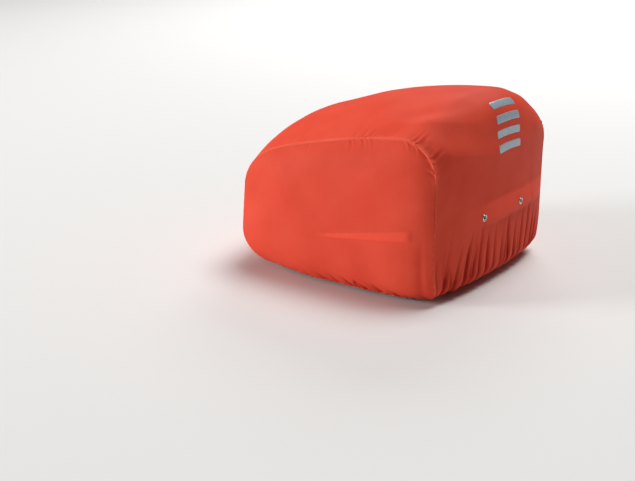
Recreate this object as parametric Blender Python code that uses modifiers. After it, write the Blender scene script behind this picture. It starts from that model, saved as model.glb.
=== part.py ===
# Bicycle trunk bag under its elastic rain cover, metres, +Z up.
# +X points to the rear of the bicycle, +Y to its right, and z = 0 is the plane it stands on.
# The origin is the middle of the whole length and width, at the foot.

import math

import bmesh
import bpy
import numpy as np
from mathutils import Matrix, Vector

# Driving sizes of the rain cover, metres
SIDE_LENGTH = 0.246        # side panel, front to rear, between the two seams
SIDE_HEIGHT_FRONT = 0.1417  # corner of the side panel's outline, before it is rounded
SIDE_HEIGHT_REAR = 0.1740
SIDE_LEAN = 0.0102         # how far the side panel's front edge leans back at its top
FRONT_BULGE = 0.0240       # how far the middle of the front stands before the seams
REAR_BULGE = 0.0120        # how far the middle of the rear stands behind the seams
MIDDLE_HEIGHT_FRONT = 0.1476
MIDDLE_HEIGHT_REAR = 0.2040
MIDDLE_LEAN = 0.0100
CROWN_ARCH = 0.0156        # rise of the top line between its front and rear corners
ARCH_FROM = 0.490          # the rise starts at this share of the rear height
ARCH_TO = 0.882            # and is whole from this share upwards
SEAM_HALF_WIDTH = 0.1195   # from the middle plane to a seam
SIDE_BULGE = 0.0110        # how far a side panel stands out from its seams
SIDE_ROUNDING = 0.0420     # width of the side panel's curved margin
CLOTH = 0.0012             # wall of the coated cloth
HEM_HEIGHT = 0.0050        # lowest line of the cloth
TUCK_HEIGHT = 0.0500       # the sides start to turn inwards this high
TUCK_DEPTH = 0.0150        # and have moved in by this much at the hem
HEM_TURN = 0.0040          # flat strip that lies under the bag at the front and the rear

# Corner radii of the outline at the seams and in the middle plane
SEAM_RADIUS_FOOT_FRONT = 0.0366
SEAM_RADIUS_TOP_FRONT = 0.0531
SEAM_RADIUS_TOP_REAR = 0.0373
SEAM_RADIUS_FOOT_REAR = 0.0160
MIDDLE_RADIUS_FOOT_FRONT = 0.0450
MIDDLE_RADIUS_TOP_FRONT = 0.0813
MIDDLE_RADIUS_TOP_REAR = 0.0300
MIDDLE_RADIUS_FOOT_REAR = 0.0180

# The slack cloth lets the seam sink at the front of the top
SEAM_SAG = 0.0095
SEAM_SAG_PLACE = 0.176     # along the seam from the front hem, where it is deepest
SEAM_SAG_REACH = 0.038     # it dies out over this length towards the rear
SEAM_SAG_FROM = 0.050      # and starts this far along the seam

# How square the cross-section is: 2 is a parabola, more is flatter in the middle
TOP_SQUARENESS = 2.2
WALL_SQUARENESS = 2.8
TOP_FORM_FROM = 0.0603     # the walls' form turns into the top's between these heights
TOP_FORM_TO = 0.1503

# Seams, hem and eyelets
GAP = 0.0003               # between neighbouring pieces
SEAM_ROOM = 0.0003         # more room at a seam, where the outline turns in short flats
HEM_ROOM = 0.0004
PIPING_RADIUS = 0.0015
HEM_RADIUS = 0.0020        # the elastic in its casing
EYELET_RADIUS = 0.0041     # outside of a lip
EYELET_BORE_RADIUS = 0.0021
EYELET_NECK_RADIUS = 0.0029
EYELET_LIP = 0.0009        # thickness of a lip
EYELET_SEAT = 0.0005       # room between a lip and the cloth
EYELET_HEIGHT = 0.0793
EYELET_SPACING = 0.0806

# Raised band across the rear, at the eyelets
BAND_HEIGHT = 0.0815         # the band's middle, a little above the eyelets
BAND_HALF_HEIGHT = 0.0108
BAND_RISE = 0.0022

# Long wedge-shaped swelling on each side panel
RIDGE_FRONT = -0.0135
RIDGE_REAR = 0.1015
RIDGE_HEIGHT_FRONT = 0.0574
RIDGE_HEIGHT_REAR = 0.0762
RIDGE_HALF_HEIGHT = 0.0058
RIDGE_RISE = 0.0030
RIDGE_TIP = 0.25           # height of its front tip, as a share of the rear end's
RIDGE_SWELL = 0.6          # power by which it rises from the tip

# Gathers, each a groove in the cloth that deepens towards the hem
REAR_GATHER_DEPTH = 0.0034
REAR_GATHER_TOP = 0.0660
SIDE_GATHER_DEPTH = 0.0022
SIDE_GATHER_TOP = 0.0300
GATHER_FADE = 0.8          # power by which a groove dies out towards its top
GATHER_AT_HEM = 0.4        # share of its depth that a groove has left at the hem
GATHER_DEEPEST = 0.25      # share of its height at which it is deepest

# Rear gathers. place: share of the half width, - left, + right; width: share of the half width;
# depth: share of REAR_GATHER_DEPTH; top: share of REAR_GATHER_TOP; lean: share of the half width
# by which the groove's top lies to the right of its foot.
REAR_GATHERS = (
    # place, width, depth, top, lean
    (-0.900, 0.042, 0.55, 0.55, 0.060),
    (-0.770, 0.045, 0.70, 0.85, 0.110),
    (-0.640, 0.040, 0.80, 0.95, 0.120),
    (-0.520, 0.048, 0.65, 0.75, 0.100),
    (-0.385, 0.045, 0.90, 1.00, 0.050),
    (-0.250, 0.050, 0.75, 0.80, 0.030),
    (-0.105, 0.048, 0.80, 0.90, 0.010),
    (0.040, 0.050, 0.70, 0.75, 0.000),
    (0.180, 0.045, 0.95, 1.00, -0.020),
    (0.310, 0.042, 0.80, 0.85, -0.010),
    (0.440, 0.045, 0.90, 0.95, 0.020),
    (0.565, 0.042, 1.00, 1.00, 0.050),
    (0.690, 0.042, 0.85, 0.90, 0.060),
    (0.810, 0.042, 0.95, 0.80, 0.050),
    (0.920, 0.040, 0.60, 0.60, 0.030),
)

# Side gathers. place and width: shares of SIDE_LENGTH from the front; depth: share of
# SIDE_GATHER_DEPTH; top: share of SIDE_GATHER_TOP; lean: share of SIDE_LENGTH.
SIDE_GATHERS = (
    # place, width, depth, top, lean
    (0.290, 0.026, 0.35, 0.60, 0.000),
    (0.385, 0.024, 0.50, 0.75, -0.010),
    (0.470, 0.022, 0.70, 0.80, -0.015),
    (0.545, 0.022, 0.90, 0.95, -0.020),
    (0.620, 0.022, 1.00, 1.00, -0.025),
    (0.695, 0.022, 0.85, 0.85, -0.025),
    (0.770, 0.022, 1.00, 1.00, -0.025),
    (0.845, 0.022, 0.80, 0.70, -0.015),
    (0.915, 0.020, 0.60, 0.60, -0.010),
)

# The bag inside the cover
BAG_CLEARANCE = 0.0007     # between the bag's crown and the cover's inner face
BAG_SIDE_CLEARANCE = 0.0030
BAG_WALL = 0.0030
BAG_END_BULGE = 0.0080     # how far the middle of the bag's sides stands out
BAG_END_SHARE = 0.55       # size of that raised middle, as a share of the side
BASE_THICKNESS = 0.0100
BASE_MARGIN = 0.0120       # the base plate stays this far inside the hem
BASE_CORNER_RADIUS = 0.0200
BAG_SLACK_FROM = 0.0810    # below this height the bag keeps clear of the gathers too
BAG_SLACK_TO = 0.1710
LID_HEIGHT = 0.1180        # the lid starts this high

# Rows of the profile on: flat foot, foot arc, front, arc, top, arc, rear, foot arc, flat foot
PROFILE_STEPS = (1, 4, 4, 4, 8, 5, 11, 4, 1)
CENTER_COLUMNS = 18
SIDE_COLUMNS = 15
BAG_COLUMNS = 8
BAG_ROW_STEP = 2
# Heights of the side panel's rows, as shares of the way from the hem to the top seam
SIDE_ROWS = (0.0, 0.03, 0.075, 0.13, 0.19, 0.26, 0.32, 0.36, 0.40, 0.44, 0.48, 0.68, 0.82, 0.92, 1.0)
FINE_SIDE_ROWS = 4         # the lowest rows, where the hem gathers, have four times the columns

CORAL = (0.775, 0.095, 0.051, 1.0)
CORAL_DARK = (0.60, 0.065, 0.038, 1.0)
CHARCOAL = (0.030, 0.031, 0.034, 1.0)
BLACK = (0.012, 0.012, 0.013, 1.0)
NICKEL = (0.62, 0.61, 0.58, 1.0)


# Scene and materials

def clear_scene():
    for obj in list(bpy.data.objects):
        bpy.data.objects.remove(obj, do_unlink=True)


def new_collection(name):
    collection = bpy.data.collections.new(name)
    bpy.context.scene.collection.children.link(collection)
    return collection


def new_material(name, color, roughness, metallic=0.0):
    material = bpy.data.materials.new(name)
    material.use_nodes = True
    shader = material.node_tree.nodes["Principled BSDF"]
    shader.inputs["Base Color"].default_value = color
    shader.inputs["Roughness"].default_value = roughness
    shader.inputs["Metallic"].default_value = metallic
    return material


def add_object(name, mesh, material, collection):
    obj = bpy.data.objects.new(name, mesh)
    mesh.materials.append(material)
    collection.objects.link(obj)
    return obj


# Outlines

def rounded_path(corners, radii, steps):
    """Points along straight runs through corners, each rounded by an arc of its own radius."""
    corners = [np.array(corner, dtype=float) for corner in corners]
    points = []
    start = corners[0]
    for i, radius in enumerate(radii, start=1):
        back = corners[i - 1] - corners[i]
        ahead = corners[i + 1] - corners[i]
        back /= np.linalg.norm(back)
        ahead /= np.linalg.norm(ahead)
        half_angle = math.acos(float(back @ ahead)) / 2
        reach = radius / math.tan(half_angle)
        enter = corners[i] + back * reach
        leave = corners[i] + ahead * reach
        bisector = (back + ahead) / np.linalg.norm(back + ahead)
        center = corners[i] + bisector * radius / math.sin(half_angle)
        sweep = math.pi - 2 * half_angle
        run, arc = steps[2 * i - 2], steps[2 * i - 1]
        for k in range(run):
            points.append(start + (enter - start) * k / run)
        for k in range(arc):
            share = k / arc
            near = math.sin((1 - share) * sweep) / math.sin(sweep)
            far = math.sin(share * sweep) / math.sin(sweep)
            points.append(center + near * (enter - center) + far * (leave - center))
        start = leave
    for k in range(steps[-1] + 1):
        points.append(start + (corners[-1] - start) * k / steps[-1])
    return np.array(points)


def seam_profile():
    """Outline of a side panel: hem, front, top, rear, hem, as (x, z)."""
    front, rear = -SIDE_LENGTH / 2, SIDE_LENGTH / 2
    corners = (
        (front + SEAM_RADIUS_FOOT_FRONT + HEM_TURN, HEM_HEIGHT),
        (front, HEM_HEIGHT),
        (front + SIDE_LEAN, SIDE_HEIGHT_FRONT),
        (rear, SIDE_HEIGHT_REAR),
        (rear, HEM_HEIGHT),
        (rear - SEAM_RADIUS_FOOT_REAR - HEM_TURN, HEM_HEIGHT),
    )
    radii = (SEAM_RADIUS_FOOT_FRONT, SEAM_RADIUS_TOP_FRONT, SEAM_RADIUS_TOP_REAR, SEAM_RADIUS_FOOT_REAR)
    path = rounded_path(corners, radii, PROFILE_STEPS)
    run = np.append(0, np.cumsum(np.linalg.norm(np.diff(path, axis=0), axis=1)))
    behind = np.exp(-np.maximum(run - SEAM_SAG_PLACE, 0) / SEAM_SAG_REACH)
    rise = np.clip((run - SEAM_SAG_FROM) / (SEAM_SAG_PLACE - SEAM_SAG_FROM), 0, 1)
    path[:, 1] -= SEAM_SAG * behind * np.sin(np.pi / 2 * rise) ** 2
    return path


def middle_profile():
    """Outline of the cover in its middle plane, row for row beside the seam's."""
    front, rear = -SIDE_LENGTH / 2 - FRONT_BULGE, SIDE_LENGTH / 2 + REAR_BULGE
    corners = (
        (front + MIDDLE_RADIUS_FOOT_FRONT + HEM_TURN, HEM_HEIGHT),
        (front, HEM_HEIGHT),
        (front + MIDDLE_LEAN, MIDDLE_HEIGHT_FRONT),
        (rear, MIDDLE_HEIGHT_REAR),
        (rear, HEM_HEIGHT),
        (rear - MIDDLE_RADIUS_FOOT_REAR - HEM_TURN, HEM_HEIGHT),
    )
    radii = (MIDDLE_RADIUS_FOOT_FRONT, MIDDLE_RADIUS_TOP_FRONT, MIDDLE_RADIUS_TOP_REAR,
             MIDDLE_RADIUS_FOOT_REAR)
    path = rounded_path(corners, radii, PROFILE_STEPS)
    along = (path[:, 0] - path[:, 0].min()) / np.ptp(path[:, 0])
    upper = np.clip((path[:, 1] / MIDDLE_HEIGHT_REAR - ARCH_FROM) / (ARCH_TO - ARCH_FROM), 0, 1)
    path[:, 1] += CROWN_ARCH * np.sin(np.pi * along) * upper
    return path


def outward_normals(path):
    """Normals that point out of an outline running from the front hem over the top to the rear hem."""
    tangent = np.gradient(path, axis=0)
    tangent /= np.linalg.norm(tangent, axis=1)[:, None]
    return np.stack([-tangent[:, 1], tangent[:, 0]], axis=1)


def tuck(height):
    """How far the sides have moved inwards at a height: a quarter ellipse that ends flat at the hem."""
    share = np.clip((TUCK_HEIGHT - height) / (TUCK_HEIGHT - HEM_HEIGHT), 0, 1)
    return TUCK_DEPTH * (1 - np.sqrt(1 - share ** 2))


# Relief of the cloth

def gather_depth(height, top):
    """Depth of a gather at a height, from 0 to 1, and the share of the way up to its top."""
    share = np.clip((height - HEM_HEIGHT) / (top - HEM_HEIGHT), 0, 1)
    start = GATHER_AT_HEM + (1 - GATHER_AT_HEM) * np.minimum(share / GATHER_DEEPEST, 1)
    return (1 - share) ** GATHER_FADE * start, share


def rear_relief(across, height):
    """How far the rear stands out of its smooth form: the band at the eyelets, less the gathers."""
    relief = BAND_RISE * np.exp(-((height - BAND_HEIGHT) / BAND_HALF_HEIGHT) ** 4)
    relief = relief * (1 - across ** 8)
    for place, width, depth, top, lean in REAR_GATHERS:
        fade, share = gather_depth(height, top * REAR_GATHER_TOP)
        groove = np.exp(-((across - place - lean * share) / width) ** 2)
        relief = relief - REAR_GATHER_DEPTH * depth * fade * groove
    return relief


def side_relief(x, height):
    """How far a side stands out of its smooth form: the wedge-shaped ridge, less the hem's gathers."""
    along = np.clip((x - RIDGE_FRONT) / (RIDGE_REAR - RIDGE_FRONT), 0, 1)
    blunt = np.clip((RIDGE_REAR - x) / RIDGE_HALF_HEIGHT, 0, 1)
    reach = RIDGE_HALF_HEIGHT * (RIDGE_TIP + (1 - RIDGE_TIP) * along)
    middle = RIDGE_HEIGHT_FRONT + (RIDGE_HEIGHT_REAR - RIDGE_HEIGHT_FRONT) * along
    relief = RIDGE_RISE * along ** RIDGE_SWELL * blunt * np.exp(-((height - middle) / reach) ** 4)
    for place, width, depth, top, lean in SIDE_GATHERS:
        fade, share = gather_depth(height, top * SIDE_GATHER_TOP)
        offset = x + SIDE_LENGTH / 2 - (place + lean * share) * SIDE_LENGTH
        groove = np.exp(-(offset / (width * SIDE_LENGTH)) ** 2)
        relief = relief - SIDE_GATHER_DEPTH * depth * fade * groove
    return relief


# Surfaces of the cover and the bag

SEAM = seam_profile()
MIDDLE = middle_profile()
SEAM_NORMALS = outward_normals(SEAM)
MIDDLE_NORMALS = outward_normals(MIDDLE)
REAR_START = sum(PROFILE_STEPS[:6])
LENGTH_CENTER = (MIDDLE[:, 0].min() + MIDDLE[:, 0].max()) / 2
SEAM_SETBACK = PIPING_RADIUS + GAP + SEAM_ROOM
HEM_SETBACK = HEM_RADIUS + GAP + HEM_ROOM


def center_row(row, across, inset=0.0, narrower=0.0, relief=True):
    """One row of the strip that runs over the front, top and rear.

    across runs from -1 at the left seam to 1 at the right seam. A point lies between the seam's
    outline and the middle's, nearer the seam's by the power of its distance from the middle.
    """
    upper = np.clip((MIDDLE[row, 1] - TOP_FORM_FROM) / (TOP_FORM_TO - TOP_FORM_FROM), 0, 1)
    squareness = WALL_SQUARENESS + (TOP_SQUARENESS - WALL_SQUARENESS) * upper
    weight = np.abs(across) ** squareness
    outline = SEAM[row] * weight[:, None] + MIDDLE[row] * (1 - weight[:, None])
    normal = SEAM_NORMALS[row] * weight[:, None] + MIDDLE_NORMALS[row] * (1 - weight[:, None])
    normal /= np.linalg.norm(normal, axis=1)[:, None]
    raised = np.full(len(across), -inset)
    if relief and row >= REAR_START:
        raised += rear_relief(across, outline[:, 1])
    outline = outline + normal * raised[:, None]
    half = SEAM_HALF_WIDTH - narrower - tuck(SEAM[row, 1])
    points = np.empty((len(across), 3))
    points[:, 0] = outline[:, 0] - LENGTH_CENTER
    points[:, 1] = across * half
    points[:, 2] = outline[:, 1]
    return points


def evenly_spaced(path, count):
    lengths = np.append(0, np.cumsum(np.linalg.norm(np.diff(path, axis=0), axis=1)))
    wanted = np.linspace(0, lengths[-1], count)
    return np.stack([np.interp(wanted, lengths, path[:, k]) for k in range(2)], axis=1)


def at_shares(path, shares):
    lengths = np.append(0, np.cumsum(np.linalg.norm(np.diff(path, axis=0), axis=1)))
    wanted = np.asarray(shares) * lengths[-1]
    return np.stack([np.interp(wanted, lengths, path[:, k]) for k in range(2)], axis=1)


def side_edges():
    """Edges of a side panel, inside the piping: front and rear from hem to top, and the top edge."""
    inset = SEAM - SEAM_NORMALS * SEAM_SETBACK
    inset[:, 1] = np.maximum(inset[:, 1], HEM_HEIGHT)
    steps = np.cumsum((0,) + PROFILE_STEPS)
    front_corner = (steps[3] + steps[4]) // 2
    rear_corner = (steps[5] + steps[6]) // 2
    return inset[:front_corner + 1], inset[rear_corner:][::-1], inset[front_corner:rear_corner + 1]


def side_row(share, columns):
    """One row of a side panel: share is 0 at the hem and 1 at the top seam.

    The row is blended from the panel's four edges, then set out sideways by a bulge that
    fades within the curved margin along the seams.
    """
    front, rear, top = side_edges()
    along = np.linspace(0, 1, columns + 1)[:, None]
    front_point = at_shares(front, [share])[0]
    rear_point = at_shares(rear, [share])[0]
    hem_line = front[0] * (1 - along) + rear[0] * along
    top_line = evenly_spaced(top, columns + 1)
    corners = ((1 - share) * ((1 - along) * front[0] + along * rear[0])
               + share * ((1 - along) * top[0] + along * top[-1]))
    flat = (1 - along) * front_point + along * rear_point
    flat = flat + (1 - share) * hem_line + share * top_line - corners
    margin = np.ones(columns + 1)
    height = SIDE_HEIGHT_REAR - SIDE_LEAN
    for reach in (along[:, 0] * SIDE_LENGTH, (1 - along[:, 0]) * SIDE_LENGTH, (1 - share) * height):
        near = np.clip((reach + SEAM_SETBACK) / SIDE_ROUNDING, 0, 1)
        margin = margin * (1 - (1 - near) ** 2)
    out = SEAM_HALF_WIDTH - tuck(flat[:, 1]) + SIDE_BULGE * margin
    out = out + side_relief(flat[:, 0], flat[:, 1])
    return np.stack([flat[:, 0] - LENGTH_CENTER, -out, flat[:, 1]], axis=1)


def mesh_from_rows(name, rows):
    """A surface through rows of points; a row may have as many columns as the last one, or twice."""
    mesh = bpy.data.meshes.new(name)
    cloth = bmesh.new()
    rings = [[cloth.verts.new(point) for point in row] for row in rows]
    for above, below in zip(rings, rings[1:]):
        ratio = (len(below) - 1) // (len(above) - 1)
        for k in range(len(above) - 1):
            lower = below[k * ratio:(k + 1) * ratio + 1]
            cloth.faces.new([above[k]] + lower + [above[k + 1]])
    cloth.to_mesh(mesh)
    cloth.free()
    mesh.shade_smooth()
    return mesh


def give_thickness(obj, thickness):
    wall = obj.modifiers.new("wall", "SOLIDIFY")
    wall.thickness = thickness
    wall.offset = -1.0


def tube_along(name, points, radius, material, collection, closed=False):
    """A round piping or elastic as a curve with a round bevel and filled caps."""
    curve = bpy.data.curves.new(name, "CURVE")
    curve.dimensions = "3D"
    curve.bevel_depth = radius
    curve.bevel_resolution = 1
    curve.use_fill_caps = not closed
    spline = curve.splines.new("POLY")
    spline.points.add(len(points) - 1)
    spline.points.foreach_set("co", np.column_stack([points, np.ones(len(points))]).ravel())
    spline.use_cyclic_u = closed
    obj = bpy.data.objects.new(name, curve)
    curve.materials.append(material)
    collection.objects.link(obj)
    return obj


# Pieces of the cover

def make_center_panel(material, collection):
    """The long strip of cloth over the front, the top and the rear."""
    rows = []
    for row in range(len(SEAM)):
        columns = CENTER_COLUMNS
        if row > REAR_START and MIDDLE[row, 1] < REAR_GATHER_TOP:
            columns *= 2 if MIDDLE[row - 1, 1] >= REAR_GATHER_TOP else 4
        half = SEAM_HALF_WIDTH - tuck(SEAM[row, 1])
        edge = 1 - SEAM_SETBACK / half
        rows.append(center_row(row, np.linspace(-edge, edge, columns + 1)))
    name = "cover_center_panel"
    panel = add_object(name, mesh_from_rows(name, rows), material, collection)
    give_thickness(panel, CLOTH)
    return panel


def make_side_panel(side, material, collection):
    """One side of the cover; side is -1 for the left and 1 for the right."""
    name = "cover_side_panel_left" if side < 0 else "cover_side_panel_right"
    rows = []
    for k, share in enumerate(reversed(SIDE_ROWS)):
        columns = SIDE_COLUMNS
        from_hem = len(SIDE_ROWS) - 1 - k
        if from_hem <= FINE_SIDE_ROWS:
            columns *= 2 if from_hem == FINE_SIDE_ROWS else 4
        row = side_row(share, columns)
        if side > 0:
            row = (row * (1, -1, 1))[::-1]
        rows.append(row)
    panel = add_object(name, mesh_from_rows(name, rows), material, collection)
    give_thickness(panel, CLOTH)


def make_piping(side, material, collection):
    """The bound seam round one side panel, from hem to hem."""
    name = "seam_piping_left" if side < 0 else "seam_piping_right"
    path = SEAM[1:-1]
    half = SEAM_HALF_WIDTH - tuck(path[:, 1])
    points = np.stack([path[:, 0] - LENGTH_CENTER, side * half, path[:, 1]], axis=1)
    tube_along(name, points, PIPING_RADIUS, material, collection)


def hem_path():
    """Closed loop just inside the lower edges of the four sides, at the height of the cloth's middle."""
    half = SEAM_HALF_WIDTH - tuck(HEM_HEIGHT) - SEAM_SETBACK
    across = np.linspace(-1, 1, 11) * (1 - HEM_SETBACK / half)
    front = center_row(0, across, relief=False) + (HEM_SETBACK, 0, 0)
    rear = center_row(len(SEAM) - 1, across, relief=False) - (HEM_SETBACK, 0, 0)
    left = side_row(0.0, 16)[1:-1] + (0, HEM_SETBACK, 0)
    right = left * (1, -1, 1)
    loop = np.concatenate([front[::-1], left, rear, right[::-1]])
    loop[:, 2] = HEM_HEIGHT + CLOTH / 2
    return loop


def rear_x(y, height):
    """How far to the rear the outside of the cloth lies at a place on the rear wall."""
    wall = range(REAR_START, len(SEAM) - PROFILE_STEPS[-1] - PROFILE_STEPS[-2])
    points = []
    for row in wall:
        across = np.array([y / (SEAM_HALF_WIDTH - tuck(SEAM[row, 1]))])
        points.append(center_row(row, across)[0])
    points = np.array(points)[::-1]
    return float(np.interp(height, points[:, 2], points[:, 0]))


def rear_frame(y, height):
    """Matrix with its origin in the middle of the rear cloth and its Z axis pointing out of it."""
    step = EYELET_RADIUS
    slope_y = (rear_x(y + step, height) - rear_x(y - step, height)) / (2 * step)
    slope_z = (rear_x(y, height + step) - rear_x(y, height - step)) / (2 * step)
    normal = Vector((1.0, -slope_y, -slope_z)).normalized()
    place = Vector((rear_x(y, height), y, height)) - normal * CLOTH / 2
    return Matrix.Translation(place) @ normal.to_track_quat("Z", "Y").to_matrix().to_4x4()


def cut_eyelet_hole(panel, side, cutters):
    """A round hole through the rear cloth that an eyelet's neck passes."""
    name = "cutter_eyelet_left" if side < 0 else "cutter_eyelet_right"
    drill = bmesh.new()
    bmesh.ops.create_cone(drill, cap_ends=True, segments=20, radius1=EYELET_NECK_RADIUS + GAP,
                          radius2=EYELET_NECK_RADIUS + GAP, depth=EYELET_RADIUS * 2)
    mesh = bpy.data.meshes.new(name)
    drill.to_mesh(mesh)
    drill.free()
    cutter = bpy.data.objects.new(name, mesh)
    cutter.matrix_world = rear_frame(side * EYELET_SPACING / 2, EYELET_HEIGHT)
    cutter.hide_render = True
    cutter.display_type = "WIRE"
    cutters.objects.link(cutter)
    hole = panel.modifiers.new(name, "BOOLEAN")
    hole.operation = "DIFFERENCE"
    hole.object = cutter


def make_eyelet(side, material, collection):
    """A rolled metal eyelet: a neck through the cloth with a lip on each face, turned from a profile."""
    name = "eyelet_left" if side < 0 else "eyelet_right"
    seat = CLOTH / 2 + EYELET_SEAT
    rim = seat + EYELET_LIP
    rounding = EYELET_LIP / 2
    profile = (
        (EYELET_BORE_RADIUS + rounding, rim),
        (EYELET_RADIUS - rounding, rim),
        (EYELET_RADIUS, seat + rounding),
        (EYELET_RADIUS - rounding / 2, seat),
        (EYELET_NECK_RADIUS, seat),
        (EYELET_NECK_RADIUS, -seat),
        (EYELET_RADIUS - rounding / 2, -seat),
        (EYELET_RADIUS, -seat - rounding),
        (EYELET_RADIUS - rounding, -rim),
        (EYELET_BORE_RADIUS, -rim),
        (EYELET_BORE_RADIUS, rim - rounding),
    )
    points = [(radius, 0.0, height) for radius, height in profile]
    edges = [(k, (k + 1) % len(points)) for k in range(len(points))]
    mesh = bpy.data.meshes.new(name)
    mesh.from_pydata(points, edges, [])
    eyelet = add_object(name, mesh, material, collection)
    turned = eyelet.modifiers.new("turned", "SCREW")
    turned.steps = 14
    turned.render_steps = 14
    turned.use_merge_vertices = True
    turned.merge_threshold = 0.00001
    turned.use_smooth_shade = True
    eyelet.matrix_world = rear_frame(side * EYELET_SPACING / 2, EYELET_HEIGHT)


# The bag and its base

def bag_mesh(name, inset):
    """Closed form of the bag: the cover's own form drawn in, with a raised flat on each side."""
    half = SEAM_HALF_WIDTH - BAG_SIDE_CLEARANCE
    across = np.linspace(-1, 1, BAG_COLUMNS + 1)
    rows = []
    for row in range(0, len(SEAM), BAG_ROW_STEP):
        drawn_in = inset + CLOTH + bag_clearance(row)
        points = center_row(row, across, drawn_in, BAG_SIDE_CLEARANCE + inset, relief=False)
        points[:, 2] = np.maximum(points[:, 2], BASE_THICKNESS + GAP + inset)
        rows.append(points)
    solid = bmesh.new()
    rings = [[solid.verts.new(point) for point in row] for row in rows]
    for above, below in zip(rings, rings[1:] + rings[:1]):
        for k in range(BAG_COLUMNS):
            solid.faces.new([above[k], below[k], below[k + 1], above[k + 1]])
    for column, end in ((0, -1), (BAG_COLUMNS, 1)):
        outline = [ring[column] for ring in rings]
        middle = sum((vert.co for vert in outline), Vector()) / len(outline)
        middle.y = end * (half + BAG_END_BULGE - inset)
        raised = []
        for vert in outline:
            point = middle.lerp(vert.co, BAG_END_SHARE)
            point.y = middle.y
            raised.append(solid.verts.new(point))
        for k in range(len(outline)):
            n = (k + 1) % len(outline)
            solid.faces.new([outline[k], outline[n], raised[n], raised[k]])
        solid.faces.new(raised)
    bmesh.ops.recalc_face_normals(solid, faces=solid.faces[:])
    bmesh.ops.remove_doubles(solid, verts=solid.verts[:], dist=0.0001)
    mesh = bpy.data.meshes.new(name)
    solid.to_mesh(mesh)
    solid.free()
    return mesh


def bag_clearance(row):
    """Room between bag and cover: least at the crown, and enough for the gathers lower down."""
    upper = float(np.clip((MIDDLE[row, 1] - BAG_SLACK_FROM) / (BAG_SLACK_TO - BAG_SLACK_FROM), 0, 1))
    return BAG_CLEARANCE * upper + (REAR_GATHER_DEPTH + BAG_CLEARANCE) * (1 - upper)


def make_block(name, low, high, cutters):
    """A plain box, from its lowest to its highest corner, used as a cutter."""
    box = bmesh.new()
    bmesh.ops.create_cube(box, size=1.0)
    low, high = Vector(low), Vector(high)
    for vert in box.verts:
        share = vert.co + Vector((0.5, 0.5, 0.5))
        vert.co = low + Vector([share[k] * (high[k] - low[k]) for k in range(3)])
    mesh = bpy.data.meshes.new(name)
    box.to_mesh(mesh)
    box.free()
    cutter = bpy.data.objects.new(name, mesh)
    cutter.hide_render = True
    cutter.display_type = "WIRE"
    cutters.objects.link(cutter)
    return cutter


def make_bag_half(name, keep_from, keep_to, hollow, material, collection, cutters):
    """Tub or lid: the bag's form, hollowed by the same form drawn in by the wall, between two heights."""
    piece = add_object(name, bag_mesh(name, 0.0), material, collection)
    inside = piece.modifiers.new("inside", "BOOLEAN")
    inside.operation = "DIFFERENCE"
    inside.object = hollow
    reach = SIDE_LENGTH
    block = make_block("cutter_" + name, (-reach, -reach, keep_from), (reach, reach, keep_to), cutters)
    part = piece.modifiers.new("part", "BOOLEAN")
    part.operation = "INTERSECT"
    part.object = block


def make_base_plate(material, collection):
    """The stiff plate under the bag, inside the hem: the one face that the whole thing stands on."""
    middle_part = np.linspace(-0.5, 0.5, 5)
    margin = HEM_SETBACK + HEM_RADIUS + BASE_MARGIN
    front = center_row(0, middle_part, relief=False)[:, 0].max() + margin
    rear = center_row(len(SEAM) - 1, middle_part, relief=False)[:, 0].min() - margin
    half = SEAM_HALF_WIDTH - TUCK_DEPTH - SEAM_SETBACK - 2 * HEM_RADIUS - BASE_MARGIN
    plate = bmesh.new()
    bmesh.ops.create_cube(plate, size=1.0)
    for vert in plate.verts:
        vert.co.x = front if vert.co.x < 0 else rear
        vert.co.y *= 2 * half
        vert.co.z = 0.0 if vert.co.z < 0 else BASE_THICKNESS
    upright = [edge for edge in plate.edges if abs(edge.verts[0].co.z - edge.verts[1].co.z) > GAP]
    bmesh.ops.bevel(plate, geom=upright, offset=BASE_CORNER_RADIUS, segments=5, profile=0.5,
                    affect="EDGES")
    mesh = bpy.data.meshes.new("base_plate")
    plate.to_mesh(mesh)
    plate.free()
    add_object("base_plate", mesh, material, collection)


def build():
    clear_scene()
    pieces = new_collection("bicycle_trunk_bag")
    cutters = new_collection("cutters")
    coated_nylon = new_material("coated_nylon_coral", CORAL, 0.45)
    binding = new_material("seam_binding_coral", CORAL_DARK, 0.6)
    pack_cloth = new_material("pack_cloth_charcoal", CHARCOAL, 0.8)
    moulded_plastic = new_material("moulded_plastic_black", BLACK, 0.5)
    nickel = new_material("nickel_plate", NICKEL, 0.3, metallic=1.0)

    center_panel = make_center_panel(coated_nylon, pieces)
    for side in (-1, 1):
        make_side_panel(side, coated_nylon, pieces)
        make_piping(side, binding, pieces)
        cut_eyelet_hole(center_panel, side, cutters)
        make_eyelet(side, nickel, pieces)
    tube_along("hem_casing", hem_path(), HEM_RADIUS, binding, pieces, closed=True)

    hollow = bpy.data.objects.new("cutter_bag_inside", bag_mesh("cutter_bag_inside", BAG_WALL))
    hollow.hide_render = True
    hollow.display_type = "WIRE"
    cutters.objects.link(hollow)
    above = MIDDLE_HEIGHT_REAR + CROWN_ARCH
    make_bag_half("bag_tub", -GAP, LID_HEIGHT - GAP, hollow, pack_cloth, pieces, cutters)
    make_bag_half("bag_lid", LID_HEIGHT, above, hollow, pack_cloth, pieces, cutters)
    make_base_plate(moulded_plastic, pieces)


build()
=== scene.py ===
# %% [markdown]
# # A bicycle trunk bag in its rain cover
#
# The bag rides on the rear carrier of a bicycle, and an elastic cover of thin coated nylon is pulled
# over it: a long strip runs over the front, the top and the rear, and a panel closes each side. Its
# hem is gathered under the bag by an elastic, and two eyelets sit in the rear.
#
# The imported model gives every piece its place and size. This lesson puts the real finish around it:
# the cover's panels are surfaces worked out with numpy, dense enough to carry folds and gathers.

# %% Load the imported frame
import math

import bmesh
import bpy
import numpy as np
from mathutils import Matrix, Vector


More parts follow.
